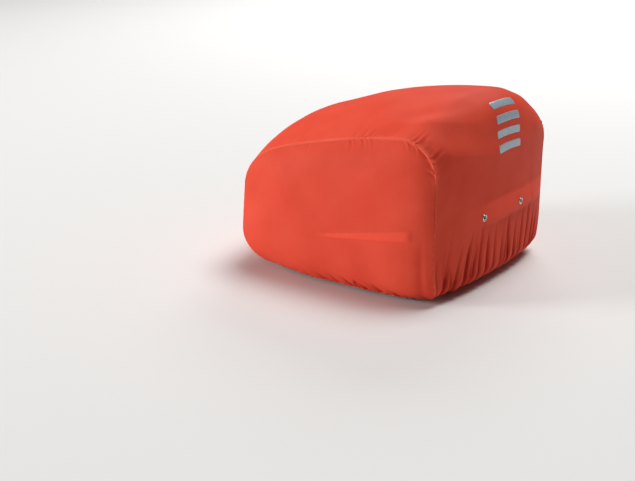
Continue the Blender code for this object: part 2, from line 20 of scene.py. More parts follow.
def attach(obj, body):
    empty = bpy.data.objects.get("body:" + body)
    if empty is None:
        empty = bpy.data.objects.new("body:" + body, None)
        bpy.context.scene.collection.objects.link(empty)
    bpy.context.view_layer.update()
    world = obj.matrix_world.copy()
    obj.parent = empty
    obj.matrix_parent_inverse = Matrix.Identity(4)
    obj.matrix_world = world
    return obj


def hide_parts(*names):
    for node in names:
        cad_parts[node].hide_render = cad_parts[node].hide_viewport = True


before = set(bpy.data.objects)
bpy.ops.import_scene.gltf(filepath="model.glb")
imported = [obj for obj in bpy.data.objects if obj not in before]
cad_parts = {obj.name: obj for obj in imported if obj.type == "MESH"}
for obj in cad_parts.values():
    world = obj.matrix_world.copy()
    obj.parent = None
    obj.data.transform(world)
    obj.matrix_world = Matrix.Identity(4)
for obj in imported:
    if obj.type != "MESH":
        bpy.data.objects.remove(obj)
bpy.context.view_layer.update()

print("pieces in the frame:", sorted(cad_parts))

# %% [markdown]
# ## The cover's outline
#
# The strip is a loft between three outlines: the two seams, which are alike, and a larger one in the
# middle plane. Each is a path of straight runs through a few corners, with an arc of its own radius
# at each corner. The sizes are the ones the solids were built from, so the cloth lands on them. The
# other way, wrapping a mesh round the solids, would copy their facets.

# %% Paths and shares
def unit(vectors):
    """Vectors scaled to length 1."""
    return vectors / np.linalg.norm(vectors, axis=-1, keepdims=True)


def path_lengths(path):
    """Distance run along a path at each of its points."""
    return np.append(0, np.cumsum(np.linalg.norm(np.diff(path, axis=0), axis=1)))


def looked_up(wanted, run, values):
    """Rows of values at the wanted places of a run, each column by straight interpolation."""
    return np.stack([np.interp(wanted, run, column) for column in values.T], axis=-1)


def share_between(value, low, high):
    """(value - low) / (high - low), held between 0 and 1."""
    return np.clip((value - low) / (high - low), 0, 1)


def softened(values, reach):
    """Mean over the neighbours within reach rows, so that a clipped run has no kink."""
    window = np.full(2 * reach + 1, 1 / (2 * reach + 1))
    return np.convolve(np.pad(values, reach, mode="edge"), window, mode="valid")


def rounded_path(corners, radii, steps):
    """Straight runs start + s (end - start), joined by arcs center + near a + far b.

    near and far are sin((1 - s) w) / sin(w) and sin(s w) / sin(w), for an arc that sweeps w
    between the radii a and b.
    """
    corners = [np.array(corner, dtype=float) for corner in corners]
    pieces = []
    start = corners[0]
    for i, radius in enumerate(radii, start=1):
        back = unit(corners[i - 1] - corners[i])
        ahead = unit(corners[i + 1] - corners[i])
        half_angle = math.acos(float(back @ ahead)) / 2
        enter = corners[i] + back * radius / math.tan(half_angle)
        leave = corners[i] + ahead * radius / math.tan(half_angle)
        center = corners[i] + unit(back + ahead) * radius / math.sin(half_angle)
        sweep = math.pi - 2 * half_angle
        run = np.arange(steps[2 * i - 2])[:, None] / steps[2 * i - 2]
        arc = np.arange(steps[2 * i - 1])[:, None] / steps[2 * i - 1]
        pieces.append(start + (enter - start) * run)
        near, far = np.sin((1 - arc) * sweep), np.sin(arc * sweep)
        pieces.append(center + (near * (enter - center) + far * (leave - center)) / math.sin(sweep))
        start = leave
    run = np.arange(steps[-1] + 1)[:, None] / steps[-1]
    pieces.append(start + (corners[-1] - start) * run)
    return np.concatenate(pieces)


# %% Outline of the seam and of the middle
SIDE_LENGTH = 0.246
SIDE_HEIGHTS = (0.1417, 0.1740)      # corners of the side panel, front and rear
SIDE_LEAN = 0.0102
FRONT_BULGE = 0.0240
REAR_BULGE = 0.0120
MIDDLE_HEIGHTS = (0.1476, 0.2040)
MIDDLE_LEAN = 0.0100
CROWN_ARCH = 0.0156
ARCH_SHARES = (0.490, 0.882)         # of the rear height: the arch starts here and is whole there
HEM_HEIGHT = 0.0050
HEM_TURN = 0.0040
SEAM_RADII = (0.0366, 0.0531, 0.0373, 0.0160)    # foot front, top front, top rear, foot rear
MIDDLE_RADII = (0.0450, 0.0813, 0.0300, 0.0180)
# Points on: flat foot, foot arc, front, arc, top, arc, rear, foot arc, flat foot
ROW_STEPS = (2, 18, 18, 30, 128, 52, 46, 14, 2)
row_starts = np.cumsum((0,) + ROW_STEPS)


def cover_outline(front, rear, lean, heights, radii):
    """The path from the front hem, up over the top, to the rear hem, as (x, z)."""
    corners = (
        (front + radii[0] + HEM_TURN, HEM_HEIGHT),
        (front, HEM_HEIGHT),
        (front + lean, heights[0]),
        (rear, heights[1]),
        (rear, HEM_HEIGHT),
        (rear - radii[3] - HEM_TURN, HEM_HEIGHT),
    )
    return rounded_path(corners, radii, ROW_STEPS)


seam = cover_outline(-SIDE_LENGTH / 2, SIDE_LENGTH / 2, SIDE_LEAN, SIDE_HEIGHTS, SEAM_RADII)
middle = cover_outline(-SIDE_LENGTH / 2 - FRONT_BULGE, SIDE_LENGTH / 2 + REAR_BULGE, MIDDLE_LEAN,
                       MIDDLE_HEIGHTS, MIDDLE_RADII)
along = (middle[:, 0] - middle[:, 0].min()) / np.ptp(middle[:, 0])
arched = softened(share_between(middle[:, 1] / MIDDLE_HEIGHTS[1], *ARCH_SHARES), 10)
middle[:, 1] += CROWN_ARCH * np.sin(np.pi * along) * arched
length_center = (middle[:, 0].min() + middle[:, 0].max()) / 2
print("rows over the strip:", len(seam))

# %% [markdown]
# The seam isn't quite straight along the top. It is drawn up by a little where the cloth is tightest,
# near the rear corner, and it sinks towards the front, where the cloth is slack. Both are written
# over the distance run along the seam, from the front hem.

# %% The seam's rise and sag
SEAM_RISE = 0.0026
SEAM_RISE_PLACE = 0.295
SEAM_RISE_REACH = 0.045
SEAM_SAG = 0.0095
SEAM_SAG_PLACE = 0.176               # deepest here
SEAM_SAG_REACH = 0.038               # behind it the sag falls to 1 / e over this length
SEAM_SAG_FROM = 0.050                # before it the sag grows from here


def hill(value, place, width):
    """exp(-((value - place) / width) ** 2): 1 at its place, and nearly 0 two widths from it."""
    return np.exp(-((value - place) / width) ** 2)


run = path_lengths(seam)
seam[:, 1] += SEAM_RISE * hill(run, SEAM_RISE_PLACE, SEAM_RISE_REACH)
sag = np.exp(-np.maximum(run - SEAM_SAG_PLACE, 0) / SEAM_SAG_REACH)
sag *= np.sin(math.pi / 2 * share_between(run, SEAM_SAG_FROM, SEAM_SAG_PLACE)) ** 2
seam[:, 1] -= SEAM_SAG * softened(sag, 8)
seam[:, 0] -= length_center
middle[:, 0] -= length_center
seam_run, strip_run = path_lengths(seam), path_lengths(middle)
print("seam and middle, metres:", round(float(seam_run[-1]), 3), round(float(strip_run[-1]), 3))

# %% [markdown]
# ## Folds, gathers and puckers
#
# Thin coated cloth doesn't lie smooth. Where the elastic draws the hem in, the spare cloth stands in
# gathers that die out upwards; where two edges of unlike length are sewn, the seam puckers. A cloth
# simulation could find such folds, but it can't be told to put them where the real cover has them.
# So each fold is a groove with its own place, width, depth, height and lean, and the large ones are
# the same that the solids carry. Smaller ones are scattered between them from a fixed seed.

# %% Tables of the large gathers
REAR_GATHER_DEPTH = 0.0031
REAR_GATHER_TOP = 0.0700
SIDE_GATHER_DEPTH = 0.0028
SIDE_GATHER_TOP = 0.0200
REAR_GATHERS = np.array((
    # place, width, depth, top, lean
    (-0.900, 0.042, 0.55, 0.55, 0.060),
    (-0.770, 0.045, 0.70, 0.85, 0.110),
    (-0.640, 0.040, 0.80, 0.95, 0.120),
    (-0.520, 0.048, 0.65, 0.75, 0.100),
    (-0.385, 0.045, 0.90, 1.00, 0.050),
    (-0.250, 0.050, 0.75, 0.80, 0.030),
    (-0.105, 0.048, 0.80, 0.90, 0.010),
    (0.040, 0.050, 0.70, 0.75, 0.000),
    (0.180, 0.045, 0.95, 1.00, -0.020),
    (0.310, 0.042, 0.80, 0.85, -0.010),
    (0.440, 0.045, 0.90, 0.95, 0.020),
    (0.565, 0.042, 1.00, 1.00, 0.050),
    (0.690, 0.042, 0.85, 0.90, 0.060),
    (0.810, 0.042, 0.95, 0.80, 0.050),
    (0.920, 0.040, 0.60, 0.60, 0.030),
))
SIDE_GATHERS = np.array((
    # place, width, depth, top, lean
    (0.290, 0.026, 0.35, 0.60, 0.000),
    (0.385, 0.024, 0.50, 0.75, -0.010),
    (0.470, 0.022, 0.70, 0.80, -0.015),
    (0.545, 0.022, 0.90, 0.95, -0.020),
    (0.620, 0.022, 1.00, 1.00, -0.025),
    (0.695, 0.022, 0.85, 0.85, -0.025),
    (0.770, 0.022, 1.00, 1.00, -0.025),
    (0.845, 0.022, 0.80, 0.70, -0.015),
    (0.915, 0.020, 0.60, 0.60, -0.010),
))
# The cloth's gathers are narrower than the solids' and lean more: the same five columns, in shares
REAR_SHARES = (1, 0.42, 1.05, 1.08, 1.3)
SIDE_SHARES = (1, 0.45, 0.8, 0.85, 2.2)
print("large gathers, rear and side:", len(REAR_GATHERS), len(SIDE_GATHERS))

# %% Relief of a table of gathers
VALLEY_POWER = 1.3
SHOULDER = 0.22                      # height of the soft fold beside a valley, in shares of its depth
SHOULDER_PLACE = 1.6
SHOULDER_WIDTH = 0.8
FADE_POWER = 0.6
DEEPEST = 0.25                       # share of its height at which a gather is deepest
WIDTH_RANGE = (0.6, 1.3)
DEPTH_RANGE = (0.3, 1.0)
TOP_RANGE = (0.25, 0.95)
LEAN_RANGE = (-0.04, 0.07)


def scattered_gathers(count, low, high, width, depth, seed):
    """Small gathers between the large ones: rows of place, width, depth, top and lean."""
    random = np.random.default_rng(seed)
    place = np.linspace(low, high, count) + random.uniform(-0.4, 0.4, count) * (high - low) / count
    return np.column_stack([
        place,
        width * random.uniform(*WIDTH_RANGE, count),
        depth * random.uniform(*DEPTH_RANGE, count),
        random.uniform(*TOP_RANGE, count),
        random.uniform(*LEAN_RANGE, count),
    ])


def gathers(place, height, table, top):
    """Sum over the table of fade * (shoulder * exp(-((u - 1.6) / 0.8) ** 2) - exp(-|u| ** 1.3)).

    u is the distance from the groove in shares of its width: a sharp valley with a soft fold beside
    it. Each groove starts at its own top, is deepest a quarter of the way up, and leans. The second
    array is the valleys alone.
    """
    relief, valleys = np.zeros((2, *height.shape))
    for center, width, share_of_depth, share_of_top, lean in table:
        rise = share_between(height, HEM_HEIGHT, share_of_top * top)
        fade = share_of_depth * (1 - rise) ** FADE_POWER * (0.6 + 0.4 * np.minimum(rise / DEEPEST, 1))
        offset = (place - center - lean * rise) / width
        valley = fade * np.exp(-np.abs(offset) ** VALLEY_POWER)
        relief += fade * SHOULDER * hill(offset, SHOULDER_PLACE, SHOULDER_WIDTH) - valley
        # The valleys also set the painted shade in the colour of the folds.
        valleys += valley
    return relief, valleys


# %% [markdown]
# Slack cloth also carries broad, shallow waves. A sum of a few sine waves in different directions
# gives them, with lengths from 30 to 90 mm, and keeps the same shape on every run. A pucker is the
# same idea along one line: ripples of a few unlike lengths, which fade away from the seam. Under the
# seam the folded edges lift the cloth to a low rounded welt.

# %% Broad waves, puckers and welt
WAVE_COUNT = 9
WAVE_LENGTHS = (0.030, 0.090)
PUCKER_LENGTHS = (0.0052, 0.0067, 0.0088, 0.0113)
PUCKER_REACH = 0.0085
WELT_REACH = 0.0028
WELT_DIP = 0.12                      # depth of the dip beside the welt, in shares of its height
WELT_DIP_PLACE = 0.0075
WELT_DIP_REACH = 0.0036


def slack_waves(across, along, height, seed):
    """height times the mean of sines of (direction . position) / wavelength + phase."""
    random = np.random.default_rng(seed)
    waves = np.zeros_like(across)
    for _ in range(WAVE_COUNT):
        angle, phase = random.uniform(0, math.tau, 2)
        wavelength = random.uniform(*WAVE_LENGTHS)
        reading = (across * math.cos(angle) + along * math.sin(angle)) / wavelength
        waves += np.sin(math.tau * reading + phase)
    return height * waves / math.sqrt(WAVE_COUNT)


def ripples(run, wavelengths, seed):
    """Sum over the wavelengths of sin(2 pi run / wavelength + phase)."""
    random = np.random.default_rng(seed)
    return sum(np.sin(math.tau * run / wavelength + random.uniform(0, math.tau))
               for wavelength in wavelengths)


def seam_puckers(along, away, seed):
    """Short creases square to a seam: ripples along it that fade within 12 mm of it."""
    return ripples(along, PUCKER_LENGTHS, seed) * np.exp(-(away / PUCKER_REACH) ** 1.5)


def welt(away):
    """Height of the cloth over the folded seam: exp(-(d / 2.8 mm) ** 2), less a shallow dip."""
    return hill(away, 0, WELT_REACH) - WELT_DIP * hill(away, WELT_DIP_PLACE, WELT_DIP_REACH)


# %% [markdown]
# ## Surfaces of the cover
#
# The strip's grid has a row for each point of the outlines and a column for each place across. A
# point is mixed from the seam's outline and the middle's, by a power of its distance from the
# middle: with 2 the section is a parabola, with more it is flatter in the middle and rounder at the
# seams. The foot of every wall turns inwards as a quarter ellipse, where the elastic pulls it.

# %% The strip over front, top and rear
SEAM_HALF_WIDTH = 0.1195
TUCK_HEIGHT = 0.0500
TUCK_DEPTH = 0.0150
TOP_SQUARENESS = 2.2
WALL_SQUARENESS = 2.8
TOP_FORM = (0.0603, 0.1503)          # the walls' section turns into the top's between these heights
STRIP_COLUMNS = 150


def tuck(height):
    """Inward turn: depth * (1 - sqrt(1 - s * s)), with s from 0 at its start to 1 at the hem."""
    return TUCK_DEPTH * (1 - np.sqrt(1 - share_between(height, TUCK_HEIGHT, HEM_HEIGHT) ** 2))


def strip_grid(across):
    """Outline = seam * w + middle * (1 - w), with w = |across| ** squareness.

    The place sideways is across times the half width.
    """
    upper = softened(share_between(middle[:, 1], *TOP_FORM), 8)
    squareness = WALL_SQUARENESS + (TOP_SQUARENESS - WALL_SQUARENESS) * upper
    weight = np.abs(across)[None, :] ** squareness[:, None]
    path = seam[:, None] * weight[..., None] + middle[:, None] * (1 - weight[..., None])
    half = SEAM_HALF_WIDTH - tuck(seam[:, 1])
    return np.stack([path[..., 0], across * half[:, None], path[..., 1]], axis=-1)


def grid_normals(points):
    """Unit length cross product of the grid's two directions, down the rows and along them."""
    return unit(np.cross(np.gradient(points, axis=0), np.gradient(points, axis=1)))


strip_across = np.linspace(-1, 1, STRIP_COLUMNS + 1)
strip_smooth = strip_grid(strip_across)
print("strip:", strip_smooth.shape)

# %% [markdown]
# On the rear the cloth carries a raised, smoother band with the two eyelets. It lies double there,
# and it is painted a little paler: partly the double layer, partly painted light on its up-turned
# face. Its lower edge stands out most, because the gathers start under it.

# %% The band at the eyelets
EYELET_HEIGHT = 0.0793
BAND_HEIGHT = 0.0825
BAND_HALF_HEIGHT = 0.0105
BAND_DROP = 0.0035                   # its middle line is this much lower at the seams
BAND_RISE = 0.0034
BAND_SLOPE = 0.8
BAND_STEP = (-1.35, -0.85)           # offsets over which its lower edge steps down to the cloth
# The band's double cloth is painted paler, partly as painted light on its up-turned face.
BAND_DOUBLED = (1.1, 0.9)            # offsets over which double cloth starts, above and below
BAND_LEFT = (-0.75, 0.05)            # and starts between these places across


def ramp_between(value, low, high):
    """Smooth step s * s * (3 - 2 s) from 0 at low to 1 at high, which may also be the smaller one."""
    share = share_between(value, low, high)
    return share * share * (3 - 2 * share)


def band(height, across):
    """Relief of the band, and the share of double cloth.

    With the offset from its middle line in shares of its half height, the band is a wedge,
    ((1 - offset) / 2) ** 0.8: it stands out more and more from its upper edge down to its lower one.
    It is weaker near the left seam.
    """
    offset = (height - BAND_HEIGHT + BAND_DROP * across ** 2) / BAND_HALF_HEIGHT
    wedge = np.clip((1 - offset) / 2, 0, 1) ** BAND_SLOPE * ramp_between(offset, *BAND_STEP)
    share = (0.45 + 0.55 * np.tanh(4 * (across + 0.35))) * (1 - across ** 8)
    # Paler where the cloth lies double: partly the double layer, partly painted light on the band.
    doubled_and_lit = ramp_between(np.abs(offset), *BAND_DOUBLED)
    return BAND_RISE * wedge * share, doubled_and_lit * ramp_between(across, *BAND_LEFT)


# %% [markdown]
# Where the top turns down to the rear, the bag's own edge shows through as a soft crease. It hangs
# between the two seams like a slack line, and is strongest on the left.

# %% The crease below the top's rear edge
CREASE_HEIGHT = 0.1570
CREASE_SAG = 0.0200
CREASE_ROUND = 0.15                  # roundness of its lowest point, in shares of the half width
CREASE_RISE = 0.0052
CREASE_FALL = (0.022, 0.015)         # how far it reaches below its line and above it
CREASE_ENDS = (1.0, 0.84)            # places across over which it grows from the seams
CREASE_FRONT = (0.095, 0.120)        # and places along over which it grows from the top
CREASE_WEAKENS = (-0.30, 0.20)
CREASE_LOSS = 0.6


def creased(distance, sharp, soft):
    """exp(d / sharp) below its line and exp(-(d / soft) ** 2) above it: a ridge with a crisp side."""
    below = np.exp(np.minimum(distance, 0) / sharp)
    return np.where(distance < 0, below, hill(np.maximum(distance, 0), 0, soft))


def crease(points, across):
    """A ridge along the line height - sag * (1 - hypot(across, round)), faded at seams and top."""
    line = CREASE_HEIGHT - CREASE_SAG * (1 - np.hypot(across, CREASE_ROUND))
    reach = ramp_between(np.abs(across), *CREASE_ENDS) * ramp_between(points[..., 0], *CREASE_FRONT)
    reach *= 1 - CREASE_LOSS * ramp_between(across, *CREASE_WEAKENS)
    return CREASE_RISE * creased(points[..., 2] - line, *CREASE_FALL) * reach


# %% [markdown]
# Below the band stand the long gathers, with small ones between them and a denser fan at the left
# corner. Above it the pull of the elastic only leaves soft upright streaks. The front has small
# gathers alone, since its hem is drawn in as the rear's is.

# %% Rear and front
REAR_SMALL = {"count": 32, "low": -0.95, "high": 0.95, "width": 0.016, "depth": 0.75, "seed": 11}
REAR_CORNER = {"count": 12, "low": -0.95, "high": -0.38, "width": 0.015, "depth": 0.50, "seed": 9}
CORNER_EXTRA = (0, 0, 0, 0.20, 0.10)             # these reach higher and lean more
REAR_STREAKS = {"count": 18, "low": -0.92, "high": 0.60, "width": 0.040, "depth": 0.20, "seed": 5}
STREAK_TOP = 0.150
FRONT_SMALL = {"count": 25, "low": -0.93, "high": 0.93, "width": 0.022, "depth": 1.0, "seed": 23}
FRONT_GATHER_TOP = 0.045


def rear_relief(points, across):
    """Band + crease + gathers and streaks, and the valleys of the gathers less the double cloth."""
    height = points[..., 2]
    across = np.broadcast_to(across, height.shape)
    table = np.concatenate([REAR_GATHERS * REAR_SHARES, scattered_gathers(**REAR_SMALL),
                            scattered_gathers(**REAR_CORNER) + CORNER_EXTRA])
    folds, valleys = gathers(across, height, table, REAR_GATHER_TOP)
    streaks, _ = gathers(across, height, scattered_gathers(**REAR_STREAKS), STREAK_TOP)
    raised, doubled_and_lit = band(height, across)
    # The second value is the colour's mask: painted shade in the valleys, less the paler band, which is
    # partly painted light.
    return raised + REAR_GATHER_DEPTH * (folds + streaks) + crease(points, across), valleys - doubled_and_lit


def front_relief(points, across):
    """Small gathers, with their valleys."""
    height = points[..., 2]
    table = scattered_gathers(**FRONT_SMALL)
    folds, valleys = gathers(np.broadcast_to(across, height.shape), height, table, FRONT_GATHER_TOP)
    return SIDE_GATHER_DEPTH * folds, valleys


# %% [markdown]
# Under the top the rear edge of the bag's own lid shows through: a soft ridge that is clear on the
# left and fades towards the right, with a shallow hollow before it. The rest is slack and wavy.

# %% Top, and all folds of the strip
BAG_EDGE = (0.1335, 0.1010)          # rear and left edge of the bag's top, as it shows through
BAG_CORNER = 0.0600
BAG_EDGE_RISE = 0.0024
BAG_EDGE_FALL = (0.006, 0.012)       # how far it reaches outwards and inwards
BAG_EDGE_HOLLOW = 0.0014
HOLLOW_PLACE = -0.0180
HOLLOW_WIDTH = 0.0120
EDGE_FRONT = (0.045, 0.095)          # the edge grows between these places along
EDGE_HEIGHTS = (0.160, 0.180)        # and between these heights
EDGE_WEAKENS = (0.030, -0.010)       # and from its least share to 1 between these places across
EDGE_LEAST = 0.35
TOP_WAVES = 0.0003


def top_relief(points):
    """Slack waves, the rear edge of the bag's top under the cloth, and a hollow before that edge.

    The edge is the line where a rounded corner's signed distance is nought, seen from above.
    """
    x, y, height = np.moveaxis(points, -1, 0)
    along = x - BAG_EDGE[0] + BAG_CORNER
    beside = np.abs(y) - BAG_EDGE[1] + BAG_CORNER
    outside = np.hypot(np.maximum(along, 0), np.maximum(beside, 0))
    distance = outside + np.minimum(np.maximum(along, beside), 0) - BAG_CORNER
    reach = ramp_between(x, *EDGE_FRONT) * ramp_between(height, *EDGE_HEIGHTS)
    reach *= EDGE_LEAST + (1 - EDGE_LEAST) * ramp_between(y, *EDGE_WEAKENS)
    edge = BAG_EDGE_RISE * creased(-distance, *BAG_EDGE_FALL)
    edge -= BAG_EDGE_HOLLOW * hill(distance, HOLLOW_PLACE, HOLLOW_WIDTH)
    return slack_waves(x, y, TOP_WAVES, seed=3) + edge * reach


strip_relief = top_relief(strip_smooth) * (1 - np.abs(strip_across) ** 6)
# The valleys of the gathers set the painted shade in the cloth's colour.
strip_valleys = np.zeros_like(strip_relief)
in_front = np.arange(len(middle)) < row_starts[3]
in_rear = np.arange(len(middle)) >= (row_starts[4] + row_starts[5]) // 2
for rows, relief_of in ((in_front, front_relief), (in_rear, rear_relief)):
    relief, strip_valleys[rows] = relief_of(strip_smooth[rows], strip_across)
    strip_relief[rows] += relief
print("folds of the strip, mm:", np.round(1000 * strip_relief.min(), 2), "to",
      np.round(1000 * strip_relief.max(), 2))

# %% [markdown]
# Puckers gather in a few places along each seam: half way along the top, and at the rear corner.
# Elsewhere the seam is nearly smooth. Down the corners of the bag the pull of the cloth flattens it.

# %% Welt and puckers of the strip
PUCKER_PLACES = (
    # run along the seam, reach, share
    (0.208, 0.020, 0.20),
    (0.288, 0.013, 0.80),
    (0.350, 0.008, 1.0),
    (0.380, 0.010, 1.0),
)
PUCKER_EVERYWHERE = 0.10
PUCKER_HEIGHT = 0.00055
WELT_HEIGHT = 0.0012
WELT_LEAST = 0.2
WELT_HEIGHTS = (0.115, 0.155)
HEM_SLACK = 0.0010                   # no fold hangs lower than this under the hem


def welt_share(height):
    """1 along the top and 0.2 down the corners, with a smooth step between."""
    return WELT_LEAST + (1 - WELT_LEAST) * ramp_between(height, *WELT_HEIGHTS)


pucker_share = PUCKER_EVERYWHERE + sum(share * hill(seam_run, place, reach)
                                       for place, reach, share in PUCKER_PLACES)
away = (1 - np.abs(strip_across)) * SEAM_HALF_WIDTH
strip_relief += WELT_HEIGHT * welt_share(strip_smooth[:, :1, 2]) * welt(away)
for side in (-1, 1):
    puckers = seam_puckers(seam_run[:, None], away, seed=40 + side)
    strip_relief += PUCKER_HEIGHT * puckers * pucker_share[:, None] * (np.sign(strip_across) == side)
strip_points = strip_smooth + grid_normals(strip_smooth) * strip_relief[..., None]
strip_points[..., 2] = np.maximum(strip_points[..., 2], HEM_HEIGHT - HEM_SLACK)
print("strip reaches, metres:", np.round(strip_points.reshape(-1, 3).max(axis=0), 4))

# %% [markdown]
# A side panel fills the outline inside its seam. Its flat form is blended from its four edges, which
# is known as a Coons patch: the straight blends of each pair of opposite edges are added, and the
# blend of the four corners, which both hold, is taken off once.

# %% Flat form of a side panel
SEAM_EDGE = 0.0001                   # the cloth ends this far from the seam line, in the binding
SIDE_ROWS = 160
SIDE_COLUMNS = 210
front_corner = (row_starts[3] + row_starts[4]) // 2
rear_corner = (row_starts[5] + row_starts[6]) // 2


def at_shares(path, shares):
    """Points of a path at shares of its length."""
    run = path_lengths(path)
    return looked_up(shares * run[-1], run, path)


def side_form():
    """Coons patch inside the seam's outline: rows from the top seam to the hem, as (x, z) per point."""
    tangent = unit(np.gradient(seam, axis=0))
    inset = seam - np.stack([-tangent[:, 1], tangent[:, 0]], axis=1) * SEAM_EDGE
    inset[:, 1] = np.maximum(inset[:, 1], HEM_HEIGHT)
    front, rear = inset[:front_corner + 1], inset[rear_corner:][::-1]
    top = inset[front_corner:rear_corner + 1]
    share = np.linspace(1, 0, SIDE_ROWS + 1)
    along = np.linspace(0, 1, SIDE_COLUMNS + 1)
    up, on = share[:, None, None], along[None, :, None]
    hem = front[0] * (1 - on) + rear[0] * on
    corners = (1 - up) * hem + up * ((1 - on) * top[0] + on * top[-1])
    patch = ((1 - on) * at_shares(front, share)[:, None] + on * at_shares(rear, share)[:, None]
             + (1 - up) * hem + up * at_shares(top, along)[None] - corners)
    return patch, share[:, None], along[None, :]


# %% [markdown]
# The panel then swells sideways, with a rounded margin along the seams. At the rear the cloth is
# pulled round the bag's corner, so there the swell rises more steeply.

# %% The swell of a side panel
SIDE_BULGE = 0.0125
SIDE_HEIGHT = SIDE_HEIGHTS[1] - SIDE_LEAN
TOP_ROUNDING = (0.0420, 2)           # width of the margin, and the power of its rise
FRONT_ROUNDING = (0.0950, 2)
REAR_ROUNDING = (0.0750, 4)


def side_margin(share, along):
    """Product over the seams of 1 - (1 - d) ** power, with d the distance in shares of the rounding."""
    margin = np.ones((SIDE_ROWS + 1, SIDE_COLUMNS + 1))
    for reach, (rounding, power) in ((along * SIDE_LENGTH, FRONT_ROUNDING),
                                     ((1 - along) * SIDE_LENGTH, REAR_ROUNDING),
                                     ((1 - share) * SIDE_HEIGHT, TOP_ROUNDING)):
        near = np.clip((reach + SEAM_EDGE) / rounding, 0, 1)
        margin = margin * (1 - (1 - near) ** power)
    return margin


# %% [markdown]
# A long wedge-shaped ridge, probably doubled cloth over a stiffener, runs up towards the rear of each
# panel. Two soft upright grooves stand behind it, and short gathers along the hem.

# %% Relief of a side panel
RIDGE_ENDS = (-0.0150, 0.1035)       # front tip and blunt rear end
RIDGE_HEIGHTS = (0.0572, 0.0756)
RIDGE_HALF_HEIGHT = 0.0054
RIDGE_TIP = 0.22                     # half height at the tip, in shares of the rear end's
RIDGE_RISE = 0.0025
RIDGE_BLUNT = (-0.001, 0.0070)       # distances from its rear end over which it drops
RIDGE_ABOVE = (1.35, 0.70)           # offsets over which its upper side steps up
RIDGE_BELOW = (-1.25, -0.75)
# The ridge's double cloth is painted paler, partly as painted light on its up-turned face.
RIDGE_DOUBLED = (1.25, 0.9)
SIDE_GROOVES = (
    # place, width, depth, top
    (0.1120, 0.0045, 0.0009, 0.085),
    (0.1250, 0.0052, 0.0015, 0.105),
)
SIDE_SMALL = {"count": 46, "low": 0.12, "high": 0.97, "width": 0.008, "depth": 0.6}
SMALL_LEAN = -0.045
SIDE_WAVES = 0.00028
# Doubled cloth on the ridge is painted paler: partly the double layer, partly painted light.
DOUBLE_AND_LIT_SHARE = 1.25                  # how far doubled cloth counts against the valleys' colour


def side_relief(x, height, seed):
    """The ridge, less the gathers of the hem and the upright grooves, plus slack waves.

    The ridge is a plateau: along ** 0.6 * (1 - 0.45 along), cut off blunt at the rear, with a smooth
    step up on both of its sides.
    """
    along = share_between(x, *RIDGE_ENDS)
    blunt = ramp_between(RIDGE_ENDS[1] - x, *RIDGE_BLUNT)
    reach = RIDGE_HALF_HEIGHT * (RIDGE_TIP + (1 - RIDGE_TIP) * along)
    offset = (height - RIDGE_HEIGHTS[0] - (RIDGE_HEIGHTS[1] - RIDGE_HEIGHTS[0]) * along) / reach
    slope = ramp_between(offset, *RIDGE_ABOVE) * ramp_between(offset, *RIDGE_BELOW)
    ridge = along ** 0.6 * (1 - 0.45 * along) * blunt * slope
    small = scattered_gathers(**SIDE_SMALL, seed=seed)
    small[:, 2] *= np.clip(small[:, 0] * 1.6 - 0.1, 0.15, 1)       # shallow in front, deep behind
    small[:, 4] += SMALL_LEAN
    table = np.concatenate([SIDE_GATHERS * SIDE_SHARES, small])
    folds, valleys = gathers(x / SIDE_LENGTH + 0.5, height, table, SIDE_GATHER_TOP)
    relief = RIDGE_RISE * ridge + SIDE_GATHER_DEPTH * folds
    relief += slack_waves(x, height, SIDE_WAVES, seed + 1)
    for place, width, depth, top in SIDE_GROOVES:
        relief -= depth * hill(x, place, width) * ramp_between(height, top, 0.5 * top)
    # Paler where the ridge lies double: partly the double layer, partly painted light; against the
    # painted shade of the valleys.
    doubled_and_lit = ramp_between(np.abs(offset), *RIDGE_DOUBLED)
    return relief, valleys - DOUBLE_AND_LIT_SHARE * doubled_and_lit * blunt * ramp_between(along, 0, 0.25)


# %% [markdown]
# The panel shares its seam with the strip, so it has the same welt and puckers along it. Each point
# needs the run of the seam that is nearest: the top's, or the rear corner's, with a short blend on
# the diagonal between them. The right panel is the left one mirrored, with its columns turned round
# so that its faces still point outwards.

# %% Both side panels
SIDE_PUCKERS = 0.6                   # height of the panel's puckers in shares of the strip's
DIAGONAL_BLEND = 0.004


def side_grid(side, seed):
    """Half width + bulge * margin + relief + welt + puckers, over the flat form; and its valleys."""
    patch, share, along = side_form()
    x, height = patch[..., 0] + length_center, patch[..., 1]
    margin = side_margin(share, along)
    relief, valleys = side_relief(x, height, seed)
    below, behind = (1 - share) * SIDE_HEIGHT, (1 - along) * SIDE_LENGTH
    away = np.minimum(below, np.minimum(behind, along * SIDE_LENGTH))
    top_run = seam_run[front_corner] + (seam_run[rear_corner] - seam_run[front_corner]) * along
    rear_run = seam_run[rear_corner] + (seam_run[-1] - seam_run[rear_corner]) * (1 - share)
    run = top_run + (rear_run - top_run) * ramp_between(below - behind, -DIAGONAL_BLEND, DIAGONAL_BLEND)
    puckers = seam_puckers(run, away, seed + 2) * np.interp(run, seam_run, pucker_share)
    out = SEAM_HALF_WIDTH - tuck(height) + SIDE_BULGE * margin + relief * np.minimum(margin * 2, 1)
    out += WELT_HEIGHT * welt_share(height) * welt(away) + SIDE_PUCKERS * PUCKER_HEIGHT * puckers
    points = np.stack([patch[..., 0], -out, height], axis=-1)
    return (points, valleys) if side < 0 else ((points * (1, -1, 1))[:, ::-1], valleys[:, ::-1])


side_grids = {-1: side_grid(-1, seed=71), 1: side_grid(1, seed=81)}
for side, (points, _) in side_grids.items():
    print("side panel", side, points.shape, "reaches", np.round(np.abs(points[..., 1]).max(), 4))


